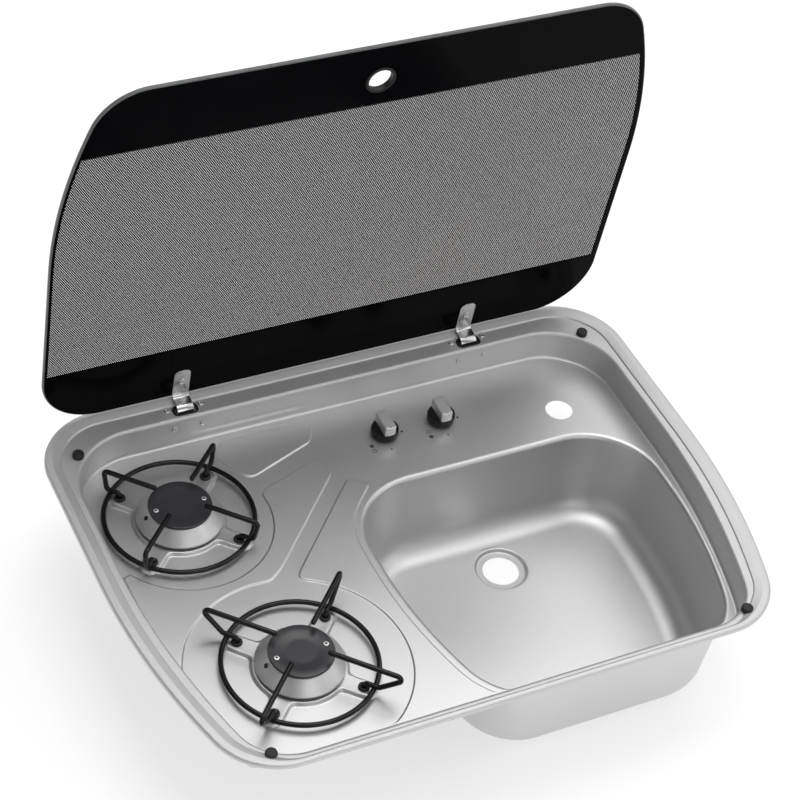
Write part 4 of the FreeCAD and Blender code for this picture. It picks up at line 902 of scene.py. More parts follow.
@dataclass
class Studio:
    """Pale floor, soft light and a camera at the photograph's angle."""

    camera_place: tuple[float, float, float] = (-765.5, -1220.8, 1495.7)
    azimuth: float = -30.83
    elevation: float = 43.21
    roll: float = 8.33
    focal_pixels: float = 2270.97
    image_pixels: float = 800.0
    sensor_width: float = 36.0
    farthest: float = 100.0
    floor_half: float = 9000.0
    floor_drop: float = 0.2
    floor_colour: Colour = (0.94, 0.94, 0.94)
    floor_roughness: float = 0.9
    floor_gloss: float = 0.1
    floor_glow: float = 0.55
    backdrop: tuple[Point, Point] = ((0.30, 0.46), (0.45, 0.10))
    ambient: float = 0.62
    lamps: tuple[tuple[str, float, float, float], ...] = (
        ("high_softbox", 180.0, 80.0, 15.5), ("fore_softbox", 0.0, 80.0, 5.0),
        ("side_softbox", 60.0, 50.0, 4.5),
        ("rear_side_softbox", 120.0, 50.0, 8.5), ("rear_softbox", 180.0, 50.0, 4.0),
        ("low_front_softbox", 0.0, 22.0, 6.5), ("low_side_softbox", 60.0, 22.0, 4.5),
        ("low_left_softbox", 300.0, 22.0, 1.5))
    lamp_distance: float = 2.0
    lamp_size: float = 1.2

    def build(self) -> None:
        """Make the camera, floor, lamps and world."""
        scene = bpy.context.scene
        scene.view_settings.view_transform = "Standard"
        self.add_camera(scene)
        self.add_floor()
        for name, turn, rise, power in self.lamps:
            self.add_lamp(name, turn, rise, power)
        self.add_world(scene)

    def add_camera(self, scene: bpy.types.Scene) -> None:
        """Camera from its measured angles: back is (sin a cos e, -cos a cos e, sin e), rolled about itself.

        Args:
            scene: Scene that gets the camera.
        """
        turn, rise, roll = (math.radians(angle) for angle in (self.azimuth, self.elevation, self.roll))
        back = np.array([math.sin(turn) * math.cos(rise), -math.cos(turn) * math.cos(rise), math.sin(rise)])
        level = np.array([math.cos(turn), math.sin(turn), 0.0])
        above = np.cross(back, level)
        right = math.cos(roll) * level + math.sin(roll) * above
        upper = math.cos(roll) * above - math.sin(roll) * level
        camera = bpy.data.cameras.new("camera")
        camera.sensor_width = self.sensor_width
        camera.lens = self.focal_pixels * camera.sensor_width / self.image_pixels
        camera.clip_end = self.farthest
        thing = bpy.data.objects.new("camera", camera)
        axes = np.column_stack([right, upper, back, np.array(self.camera_place) * MM])
        thing.matrix_world = Matrix(np.vstack([axes, [0.0, 0.0, 0.0, 1.0]]).tolist())
        scene.collection.objects.link(thing)
        scene.camera = thing

    def add_floor(self) -> None:
        """Pale floor under the lowest point: about half its own light, half lit, so that shadows stay."""
        reach = self.floor_half
        corners = np.array([[-reach, -reach], [reach, -reach], [reach, reach], [-reach, reach]])
        low = CAD_BOX[0][2] / MM - self.floor_drop
        plane = Surface(np.column_stack([corners, np.full(4, low)]), [np.arange(4)[None]])
        floor = plane.write("floor", closed=False)
        recipe = Recipe("pale_floor")
        recipe.constants(Base_Color=(*self.floor_colour, 1.0), Roughness=self.floor_roughness,
                         Specular_IOR_Level=self.floor_gloss)
        glow = recipe.add("ShaderNodeEmission")
        glow.inputs["Color"].default_value = (1.0, 1.0, 1.0, 1.0)
        mix = recipe.add("ShaderNodeMixShader")
        recipe.link(recipe.math("MULTIPLY", seen_rays(recipe.tree), self.floor_glow), mix.inputs["Fac"])
        recipe.link(recipe.shader.outputs["BSDF"], mix.inputs[1])
        recipe.link(glow.outputs["Emission"], mix.inputs[2])
        recipe.link(mix.outputs["Shader"], recipe.tree.nodes["Material Output"].inputs["Surface"])
        floor.data.materials.append(recipe.material)

    def add_lamp(self, name: str, turn: float, rise: float, power: float) -> None:
        """Soft square lamp that faces the object, at (d cos e sin a, -d cos e cos a, d sin e).

        Args:
            name: Lamp's name.
            turn: Angle a round the object in degrees, from the front towards the right.
            rise: Height e over the horizon in degrees.
            power: Power in watts.
        """
        lamp = bpy.data.lights.new(name, "AREA")
        lamp.shape = "SQUARE"
        lamp.size = self.lamp_size
        lamp.energy = power
        thing = bpy.data.objects.new(name, lamp)
        around, above = math.radians(turn), math.radians(rise)
        back = np.array([math.cos(above) * math.sin(around), -math.cos(above) * math.cos(around),
                         math.sin(above)])
        level = unit(np.cross(UP, back))
        axes = np.column_stack([level, np.cross(back, level), back, self.lamp_distance * back])
        thing.matrix_world = Matrix(np.vstack([axes, [0.0, 0.0, 0.0, 1.0]]).tolist())
        bpy.context.scene.collection.objects.link(thing)

    def add_world(self, scene: bpy.types.Scene) -> None:
        """Grey backdrop that darkens overhead, with a plain even light for matt surfaces.

        Args:
            scene: Scene that gets the world.
        """
        world = bpy.data.worlds.new("studio_world")
        world.use_nodes = True
        nodes, links = world.node_tree.nodes, world.node_tree.links
        shown = nodes["Background"]
        place = nodes.new("ShaderNodeTexCoord")
        parts = nodes.new("ShaderNodeSeparateXYZ")
        links.new(place.outputs["Generated"], parts.inputs["Vector"])
        ramp = nodes.new("ShaderNodeValToRGB")
        for stop, (height, grey) in zip(ramp.color_ramp.elements, self.backdrop):
            stop.position = height
            stop.color = (grey, grey, grey, 1.0)
        links.new(parts.outputs["Z"], ramp.inputs["Fac"])
        links.new(ramp.outputs["Color"], shown.inputs["Color"])
        shown.inputs["Strength"].default_value = 1.0
        light = nodes.new("ShaderNodeBackground")
        light.inputs["Color"].default_value = (1.0, 1.0, 1.0, 1.0)
        light.inputs["Strength"].default_value = self.ambient
        mix = nodes.new("ShaderNodeMixShader")
        links.new(seen_rays(world.node_tree), mix.inputs["Fac"])
        links.new(light.outputs["Background"], mix.inputs[1])
        links.new(shown.outputs["Background"], mix.inputs[2])
        links.new(mix.outputs["Shader"], nodes["World Output"].inputs["Surface"])
        scene.world = world


@dataclass
class Tray:
    """Pressed steel tray: rolled rim, ledge, hob well with raised panels and stars, and sink bowl."""

    rim: Outline = Outline(300.0, 222.5, -222.5, 68.0, 20.0, 671.0, 65.0)
    well: Outline = Outline(277.0, 188.5, -209.5, 66.0, 40.0, 760.0, 50.0)
    bowl: Outline = Outline(151.5, 73.5, -200.0, 67.0, -14.5, 468.0, 67.0, 112.0)
    sheet: float = 0.8
    wide_rim: tuple[Point, ...] = (
        (2.0, 0.0), (0.0, 0.0), (0.0, 5.0), (8.0, 5.0), (15.0, 3.0), (15.8, 1.5), (16.6, 1.5))
    slim_rim: tuple[Point, ...] = (
        (2.0, 0.0), (0.0, 0.0), (0.0, 5.0), (5.2, 5.0), (6.8, 3.6), (7.6, 1.5), (8.4, 1.5))
    rim_rounds: tuple[float, ...] = (0.0, 1.4, 3.0, 1.6, 0.7, 0.4, 0.0)
    ledge: float = 1.5
    ledge_round: float = 3.0
    pan: float = -31.0
    foot_round: float = 2.5
    mouth_round: float = 5.0
    least_mouth_round: float = 1.2
    floor: float = -125.0
    draft: float = 5.0
    bowl_round: float = 26.0
    groove: tuple[float, float] = (-140.0, -36.0)
    groove_level: float = -20.5
    groove_half: float = 4.0
    groove_depth: float = 1.3
    rear_facing: float = 0.99
    drain: Point = (112.0, 13.0)
    drain_radius: float = 18.0
    recess_radius: float = 26.0
    recess_depth: float = 3.5
    recess_round: float = 1.6
    recess_land: float = 3.0
    tap_hole: Point = (212.0, 111.0)
    tap_hole_radius: float = 13.5
    burners: tuple[Point, Point] = ((-195.0, 94.5), (-159.0, -102.0))
    burner_hole: float = 27.5
    star_height: float = 3.0
    star_radius: float = 42.6
    spoke_reach: float = 71.0
    spoke_half_width: float = 9.0
    star_blend: float = 5.0
    star_slope: float = 1.4
    star_search: Point = (20.0, 110.0)
    star_halvings: int = 40
    panel_height: float = 1.1
    panel_slope: float = 0.8
    slope_steps: tuple[float, ...] = (-1.5, -1.0, -0.6, -0.2, 0.2, 0.6, 1.0, 1.5)
    panel_pitch: float = 1.9
    panel_softness: tuple[float, float, float] = (3.0, 2.0, 2.0)
    front_lean: float = 13.0
    floor_lean: float = 3.0
    lean_start: float = -184.0
    lean_end: float = -206.0
    margin: float = 0.8
    slot_x: float = 150.0
    slot_half: Point = (10.4, 5.6)
    slot_y: float = 199.6
    slot_round: float = 1.5
    rear_panel: tuple[Point, ...] = (
        (-134.7, 159.5), (-115.1, 126.7), (-108.5, 124.4), (-40.0, 149.8), (-30.3, 168.0), (-33.3, 176.4),
        (-91.4, 178.2), (-122.0, 176.0))
    rear_round: tuple[Point, float] = ((-190.3, 89.0), 80.9)
    rear_span: Point = (210.5, 368.2)
    front_round: tuple[Point, float] = ((-159.6, -101.7), 101.2)
    front_left_span: Point = (82.0, 165.0)
    front_right_span: Point = (64.0, -55.5)
    middle_panel_right: tuple[Point, ...] = (
        (-104.8, 105.9), (-43.8, 126.3), (-40.4, 125.1), (-36.3, 108.0), (-40.8, 100.8), (-129.5, 8.8),
        (-143.2, -0.6))
    middle_panel_left: tuple[Point, ...] = ((-262.2, -80.4), (-263.8, -75.5), (-267.0, 45.3), (-263.2, 46.1))
    strip_head: tuple[Point, ...] = ((-9.5, 79.5), (-26.5, 92.4), (-114.7, 0.4), (-118.7, -6.2))
    strip_tail: tuple[Point, ...] = ((-116.0, -196.0), (-112.0, -202.0), (-14.0, -202.0))
    strip_gap: float = 10.5
    strip_range: Point = (-196.0, 62.0)
    left_facing: float = -0.5

    def build(self) -> None:
        """Make the whole pressing as one sheet and give it its thickness."""
        skin = self.rim_strip() + self.ledge_plate() + self.well_strip() + self.pan_plate()
        skin = self.leaned(skin + self.bowl_strip() + self.floor_plate())
        piece = skin.write("pressed_tray", closed=False, crease=60.0)
        wall = piece.modifiers.new("sheet", "SOLIDIFY")
        wall.thickness = self.sheet * MM
        wall.offset = -1.0
        dress(piece, STEEL, Body.TRAY, Slot.STEEL, "tray_rim", "well_wall", "hob_pan", "bowl_wall",
              "bowl_floor")

    def leaned(self, skin: Surface) -> Surface:
        """Front of the well leaned in: y goes to y + s w.

        The shift s grows from nothing at the ledge to its most at the pan and shrinks towards the floor; the
        share w is eased from 0 to 1 between two depths near the front.

        Args:
            skin: Upright skin.

        Returns:
            The leaned skin.
        """
        depth, height = skin.points[:, 1], skin.points[:, 2]
        shift = np.interp(height, (self.floor, self.pan, self.ledge), (self.floor_lean, self.front_lean, 0.0))
        share = smoothstep((self.lean_start - depth) / (self.lean_start - self.lean_end))
        moved = np.column_stack([skin.points[:, 0], depth + shift * share, height])
        return Surface(moved, skin.blocks)

    def rim_profiles(self) -> tuple[Array, Array]:
        """Rows of the rim's profile at each point of its outline: wide where there is room, slim in front.

        Both profiles are rounded lines of (inset, height), as many points each; each outline point takes
        a mix of them, by the room between the outline and the well.

        Returns:
            Insets and heights, rows by points.
        """
        wide = filleted(self.wide_rim, self.rim_rounds, 6)
        slim = filleted(self.slim_rim, self.rim_rounds, 6)
        gap = np.abs(distance_to(self.rim.sampled()[0], self.well.sampled()[0]))
        room = gap - self.ledge_round - 3 * self.margin
        foot, slim_foot = self.wide_rim[-2][0], self.slim_rim[-2][0]
        share = smoothstep((room - slim_foot) / (foot - slim_foot))
        return tuple(slim[:, axis:axis + 1] * (1 - share) + wide[:, axis:axis + 1] * share for axis in (0, 1))

    def rim_strip(self) -> Surface:
        """Lip, rolled bead, its inner slope and the step at its foot, carried round the rim."""
        return self.rim.loft(*self.rim_profiles())

    def ledge_plate(self) -> Surface:
        """Level ledge between the rim's foot and the well's rounded edge, with the two hinge slots.

        Returns:
            The ledge's flat net.
        """
        edge = self.rim.offset(-self.rim_profiles()[0][-1])
        lip = self.well.offset(self.ledge_round + self.margin)
        slots = [oblong((side * self.slot_x, self.slot_y), self.slot_half, self.slot_round, 4)
                 for side in (-1.0, 1.0)]
        points, faces = flat_fill(edge, [lip, *slots])
        return Surface(np.column_stack([points, np.full(len(points), self.ledge)]), [faces])

    def well_strip(self) -> Surface:
        """Rounded edge, upright wall and rounded foot of the hob well, with a long groove in the rear wall.

        The groove is deepest on a line and shallows to nothing by a half cosine of the distance from it.

        Returns:
            The wall's strip.
        """
        out, foot = self.ledge_round, self.foot_round
        corners = [(-out - self.margin, self.ledge), (0.0, self.ledge), (0.0, self.pan),
                   (foot + self.margin, self.pan)]
        profile = filleted(corners, [0.0, out, foot, 0.0], 6)
        upright = np.linspace(self.ledge - out, self.pan + foot, 24)[1:-1]
        profile = np.vstack([profile[:8], np.column_stack([0.0 * upright, upright]), profile[8:]])
        points, normals = self.well.sampled()
        beside = points[:, 0] - np.clip(points[:, 0], *self.groove)
        share = np.hypot(beside, profile[:, 1:] - self.groove_level) / self.groove_half
        dent = self.groove_depth * 0.5 * (1 + np.cos(math.pi * np.clip(share, 0.0, 1.0)))
        return self.well.loft(profile[:, :1] - dent * (normals[:, 1] > self.rear_facing), profile[:, 1])

    def lip_rounds(self) -> Array:
        """Radius of the bowl's lip at each point of its outline, less where the well's wall is near.

        Returns:
            One radius for each point.
        """
        gap = -distance_to(self.bowl.sampled()[0], self.well.sampled()[0])
        room = np.clip(gap - self.foot_round - 2 * self.margin, self.least_mouth_round, self.mouth_round)
        spread = np.stack([np.roll(room, shift) for shift in range(-6, 7)])
        return np.minimum(spread.mean(axis=0), room)

    def star_line(self, centre: Point, level: float, steps: int = 224) -> Array:
        """Closed line at a signed distance from a star's edge, found by halving along each ray.

        Args:
            centre: Burner's plan place.
            level: Distance from the edge, positive outside.
            steps: Number of rays.

        Returns:
            Points of the line.
        """
        way = circle((0.0, 0.0), 1.0, steps)
        low, high = (np.full(steps, reach) for reach in self.star_search)
        for _ in range(self.star_halvings):
            middle = (low + high) / 2
            outside = self.star_distance(way * middle[:, None]) > level
            low, high = np.where(outside, low, middle), np.where(outside, middle, high)
        return np.asarray(centre) + way * low[:, None]

    def star_distance(self, spots: Array) -> Array:
        """Distance to a hub with four round-ended spokes about the origin, blended where they meet.

        The blend of a and b is b + h (a - b) - k h (1 - h), with h = 0.5 + 0.5 (b - a) / k held in 0 to 1.

        Args:
            spots: Plan points about the burner's axis.

        Returns:
            Signed distance, negative inside.
        """
        reach = self.spoke_reach - self.spoke_half_width
        way = np.array([[1.0, 1.0], [-1.0, 1.0]]) / math.sqrt(2.0)
        along = spots @ way.T
        gap = spots[:, None] - np.clip(along, -reach, reach)[..., None] * way
        spokes = np.linalg.norm(gap, axis=-1).min(axis=1) - self.spoke_half_width
        hub = np.linalg.norm(spots, axis=1) - self.star_radius
        share = np.clip(0.5 + 0.5 * (hub - spokes) / self.star_blend, 0.0, 1.0)
        return hub + share * (spokes - hub) - self.star_blend * share * (1.0 - share)

    def panels(self) -> list[Array]:
        """Closed edges of the three raised panels of the hob pan, with arcs round the two burners.

        Returns:
            The rear panel, the middle panel and the strip beside the bowl.
        """
        points, normals = self.bowl.sampled()
        beside = points + normals * self.strip_gap
        low, high = self.strip_range
        row = beside[(normals[:, 0] < self.left_facing) & (points[:, 1] > low) & (beside[:, 1] < high)]
        row = row[np.argsort(row[:, 1])]
        middle = np.vstack([arc(*self.rear_round, *self.rear_span), self.middle_panel_right,
                            arc(*self.front_round, *self.front_left_span), self.middle_panel_left])
        strip = np.vstack([self.strip_head, arc(*self.front_round, *self.front_right_span), self.strip_tail,
                           row])
        return [eased_loop(list(edge), self.panel_pitch, softness)
                for edge, softness in zip((self.rear_panel, middle, strip), self.panel_softness)]

    def pan_height(self, spots: Array, panels: Sequence[Array]) -> Array:
        """Height of the hob pan: level, plus each panel and star eased up over the width of its slope.

        Args:
            spots: Plan points.
            panels: Closed edges of the raised panels.

        Returns:
            One height for each spot.
        """
        rise = np.zeros(len(spots))
        for panel in panels:
            share = 0.5 - distance_to(spots, panel) / (2 * self.panel_slope)
            rise = np.maximum(rise, self.panel_height * smoothstep(share))
        for centre in self.burners:
            share = 0.5 - self.star_distance(spots - np.asarray(centre)) / (2 * self.star_slope)
            rise = np.maximum(rise, self.star_height * smoothstep(share))
        return self.pan + rise

    def pan_plate(self) -> Surface:
        """Hob pan between the well's foot and the bowl's lip, with its raised forms and round holes.

        Returns:
            The pan's net.
        """
        edge = self.well.offset(-self.foot_round - self.margin)
        lip = self.bowl.offset(self.lip_rounds() + self.margin)
        holes = [lip, circle(self.tap_hole, self.tap_hole_radius)]
        holes += [circle(centre, self.burner_hole) for centre in self.burners]
        panels = self.panels()
        steps = np.array(self.slope_steps)
        lines = [panel + step * outwards(panel) for panel in panels for step in self.panel_slope * steps]
        lines += [self.star_line(centre, step) for centre in self.burners for step in self.star_slope * steps]
        lines += [circle(self.tap_hole, self.tap_hole_radius + self.margin)]
        lines += [circle(centre, self.burner_hole + self.margin) for centre in self.burners]
        points, faces = flat_fill(edge, holes, lines)
        height = self.pan_height(points, panels)
        return Surface(np.column_stack([points, height]), [faces])

    def foot_reach(self) -> float:
        """Inset where the bowl's foot meets its floor: depth tan a + r tan(45 - a / 2), a the draft."""
        lean = math.radians(self.draft)
        return (self.pan - self.floor) * math.tan(lean) + self.bowl_round * math.tan(math.pi / 4 - lean / 2)

    def bowl_strip(self) -> Surface:
        """Rounded lip, leaning wall and rounded foot of the bowl, one row of (inset, height) at a time.

        The lip's arc has the radius of each point of the outline; below it the wall leans in by the draft,
        and an arc tangent to wall and floor ends on the floor.

        Returns:
            The bowl's strip.
        """
        lean = math.radians(self.draft)
        lip = self.lip_rounds()
        turn = np.linspace(0.0, math.pi / 2 - lean, 9)[:, None]
        lip_inset = np.vstack([-lip - self.margin, -lip * (1 - np.sin(turn))])
        lip_level = np.vstack([np.full_like(lip, self.pan), self.pan - lip * (1 - np.cos(turn))])
        turn = np.linspace(lean, math.pi / 2, 14)[:, None]
        foot_inset = self.foot_reach() - self.bowl_round * np.cos(turn)
        foot_level = self.floor + self.bowl_round * (1 - np.sin(turn))
        ones = np.ones_like(lip)
        share = np.linspace(0.0, 1.0, 8)[1:-1, None]
        wall_inset = lip_inset[-1] * (1 - share) + foot_inset[0] * ones * share
        wall_level = lip_level[-1] * (1 - share) + foot_level[0] * ones * share
        end = self.foot_reach() + self.margin
        insets = np.vstack([lip_inset, wall_inset, foot_inset * ones, end * ones])
        levels = np.vstack([lip_level, wall_level, foot_level * ones, self.floor * ones])
        return self.bowl.loft(insets, levels)

    def floor_plate(self) -> Surface:
        """Bowl floor with the pressed recess of the drain: a flat ring, then a turned profile.

        Returns:
            The floor's net and its recess.
        """
        edge = self.bowl.offset(-self.foot_reach() - self.margin)
        outer, inner = self.recess_radius + self.recess_land, self.recess_radius - self.recess_round
        points, faces = flat_fill(edge, [circle(self.drain, outer, 72)])
        ring = Surface(np.column_stack([points, np.full(len(points), self.floor)]), [faces])
        low = self.floor - self.recess_depth
        corners = [(outer, self.floor), (self.recess_radius, self.floor), (inner, low),
                   (self.drain_radius, low)]
        profile = filleted(corners, [0.0, self.recess_round, self.recess_round, 0.0], 5)
        return ring + turned(profile, self.drain)


@dataclass
class Lid:
    """Hinged glass lid with a printed border, a dot screen and a trim ring in its finger hole."""

    outline: Outline = Outline(287.3, -9.1, -414.1, 59.0, -216.1, 479.0, 53.0)
    pivot: tuple[float, float, float] = (0.0, 206.0, -2.7)
    open_angle: float = 83.0
    face: float = 9.7
    thickness: float = 4.0
    edge_round: float = 1.3
    edge_land: float = 1.0
    edge_band: float = 0.9
    finger_y: float = -375.1
    finger_hole: float = 13.0
    ring_bore: float = 11.2
    ring_flange: float = 14.0
    ring_height: float = 1.0
    ring_rounds: tuple[float, ...] = (0.5, 0.8, 0.0, 0.0, 0.0, 0.0, 0.8, 0.5)
    ring_slack: float = 0.15
    ring_gap: float = 0.02
    screen_front: float = -347.0
    screen_rear: float = -73.5
    screen_margin: float = 4.0

    def __post_init__(self) -> None:
        """Turn of the open lid about the X axis."""
        lean = math.radians(-self.open_angle)
        self.turn = np.array([[1.0, 0.0, 0.0], [0.0, math.cos(lean), -math.sin(lean)],
                              [0.0, math.sin(lean), math.cos(lean)]])

    def opened(self, surface: Surface) -> Surface:
        """Surface modelled about the hinge axis with the lid shut, carried to the open lid."""
        return surface.moved(self.turn, self.pivot)

    def build(self) -> None:
        """Make the glass and its trim ring."""
        self.build_glass()
        self.build_ring()

    def screen_edge(self) -> Array:
        """Closed edge of the dot screen: the outline moved in, cut straight at the front and the rear.

        Returns:
            Points of the edge, anticlockwise.
        """
        points = self.outline.offset(-self.screen_margin)
        sides = points[(points[:, 1] > self.screen_front) & (points[:, 1] < self.screen_rear)]
        right = sides[sides[:, 0] > 0]
        right = right[np.argsort(right[:, 1])]
        ends = [np.interp(level, right[:, 1], right[:, 0]) for level in (self.screen_front, self.screen_rear)]
        column = np.vstack([[(ends[0], self.screen_front)], right, [(ends[1], self.screen_rear)]])
        return np.vstack([column, column[::-1] * np.array([-1.0, 1.0])])

    def shut(self, places: Array) -> Array:
        """Mesh points of the open lid, turned back about the hinge axis to the shut lid, in millimetres."""
        return (places.reshape(-1, 3) / MM - np.asarray(self.pivot)) @ self.turn

    def build_glass(self) -> None:
        """Plate with a rounded edge; both faces carry the screen's edge, and UV holds the lid's plan."""
        low, high, soft = self.face, self.face + self.thickness, self.edge_round
        land = soft + self.edge_land
        profile = filleted([(land, high), (0.0, high), (0.0, low), (land, low)], [0.0, soft, soft, 0.0], 6)
        plate = self.outline.loft(profile[:, 0], profile[:, 1])
        hole = circle((0.0, self.finger_y), self.finger_hole, 64)
        screen = self.screen_edge()
        points, faces = flat_fill(self.outline.offset(-land), [hole], [screen])
        for level in (high, low):
            plate = plate + Surface(np.column_stack([points, np.full(len(points), level)]), [faces])
        bore = turned(np.array([(self.finger_hole, high), (self.finger_hole, low)]), (0.0, self.finger_y), 64)
        piece = self.opened(plate + bore).write("lid_glass", crease=50.0)
        self.add_plan(piece.data)
        self.add_prints(piece.data, screen)
        dress(piece, PRINT, Body.LID, Slot.GLASS, "glass_lid")

    def add_plan(self, mesh: bpy.types.Mesh) -> None:
        """Give the glass a UV map that holds the lid's plan in metres.

        Args:
            mesh: Mesh of the open lid.
        """
        spots = np.empty(len(mesh.vertices) * 3, dtype=np.float32)
        mesh.vertices.foreach_get("co", spots)
        corners = np.empty(len(mesh.loops), dtype=np.int32)
        mesh.loops.foreach_get("vertex_index", corners)
        plan = self.shut(spots)[corners, :2] * MM
        mesh.uv_layers.new(name="lid_plan").data.foreach_set("uv", plan.astype(np.float32).ravel())

    def add_prints(self, mesh: bpy.types.Mesh, screen: Array) -> None:
        """Give each face its print: border, screen below, clear glass over the screen, and ground edge.

        Args:
            mesh: Mesh of the open lid.
            screen: Closed edge of the dot screen.
        """
        finishes = (PRINT, SCREEN, CLEAR, GROUND_EDGE)
        for finish in finishes:
            mesh.materials.append(finish.material())
        centres = np.empty(len(mesh.polygons) * 3, dtype=np.float32)
        mesh.polygons.foreach_get("center", centres)
        places = self.shut(centres)
        panel = inside(places[:, :2], screen)
        outer = places[:, 2] > self.face + self.thickness / 2
        edge = ~inside(places[:, :2], self.outline.offset(-self.edge_band * self.edge_round))
        index = np.where(edge, finishes.index(GROUND_EDGE), panel * (1 + outer))
        mesh.polygons.foreach_set("material_index", index.astype(np.int32))

    def build_ring(self) -> None:
        """Trim ring: a closed profile of a sleeve with two softened flanges, turned about the hole."""
        low, high = self.face - self.ring_height, self.face + self.thickness + self.ring_height
        inner, outer = self.ring_bore, self.ring_flange
        hole = self.finger_hole - self.ring_slack
        below, above = self.face - self.ring_gap, self.face + self.thickness + self.ring_gap
        corners = [(inner, low), (outer, low), (outer, below), (hole, below), (hole, above), (outer, above),
                   (outer, high), (inner, high)]
        profile = filleted(corners, self.ring_rounds, 5, closed=True)
        ring = turned(np.vstack([profile, profile[:1]]), (0.0, self.finger_y))
        piece = self.opened(ring).write("finger_ring")
        dress(piece, BLACK_PLASTIC, Body.LID, Slot.BLACK, "lid_finger_ring")


@dataclass
class Trivet:
    """Wire pan support: a ring and four arms that bend down to feet in the grommets."""

    name: str
    centre: Point
    arm_outer: float
    body: Body
    wire_radius: float = 2.4
    wire_sides: int = 18
    ring_radius: float = 69.0
    ring_level: float = -24.0
    arm_level: float = 1.2
    arm_inner: float = 26.0
    run_outer: float = 73.0
    run_level: float = -21.5
    foot: float = 59.5
    foot_low: float = -35.0
    bend: float = 4.0

    def build(self) -> None:
        """Make the ring and the arms as one welded piece."""
        middle = np.array([*self.centre, 0.0])
        around = circle((0.0, 0.0), self.ring_radius, 120)
        ring = middle + np.column_stack([around, np.full(len(around), self.ring_level)])
        bars = [wire(ring, UP, self.wire_radius, self.wire_sides, closed=True)]
        route = filleted([(self.arm_inner, self.arm_level), (self.arm_outer, self.arm_level),
                          (self.run_outer, self.run_level), (self.foot, self.run_level),
                          (self.foot, self.foot_low)], self.bend, 8)
        for quarter in range(4):
            angle = math.pi / 4 + quarter * math.pi / 2
            out = np.array([math.cos(angle), math.sin(angle), 0.0])
            path = middle + route[:, :1] * out + route[:, 1:] * UP
            bars.append(wire(path, np.cross(out, UP), self.wire_radius, self.wire_sides))
        piece = joined(bars).write(f"{self.name}_wire_support")
        dress(piece, ENAMEL, self.body, Slot.ENAMEL, f"{self.name}_trivet")


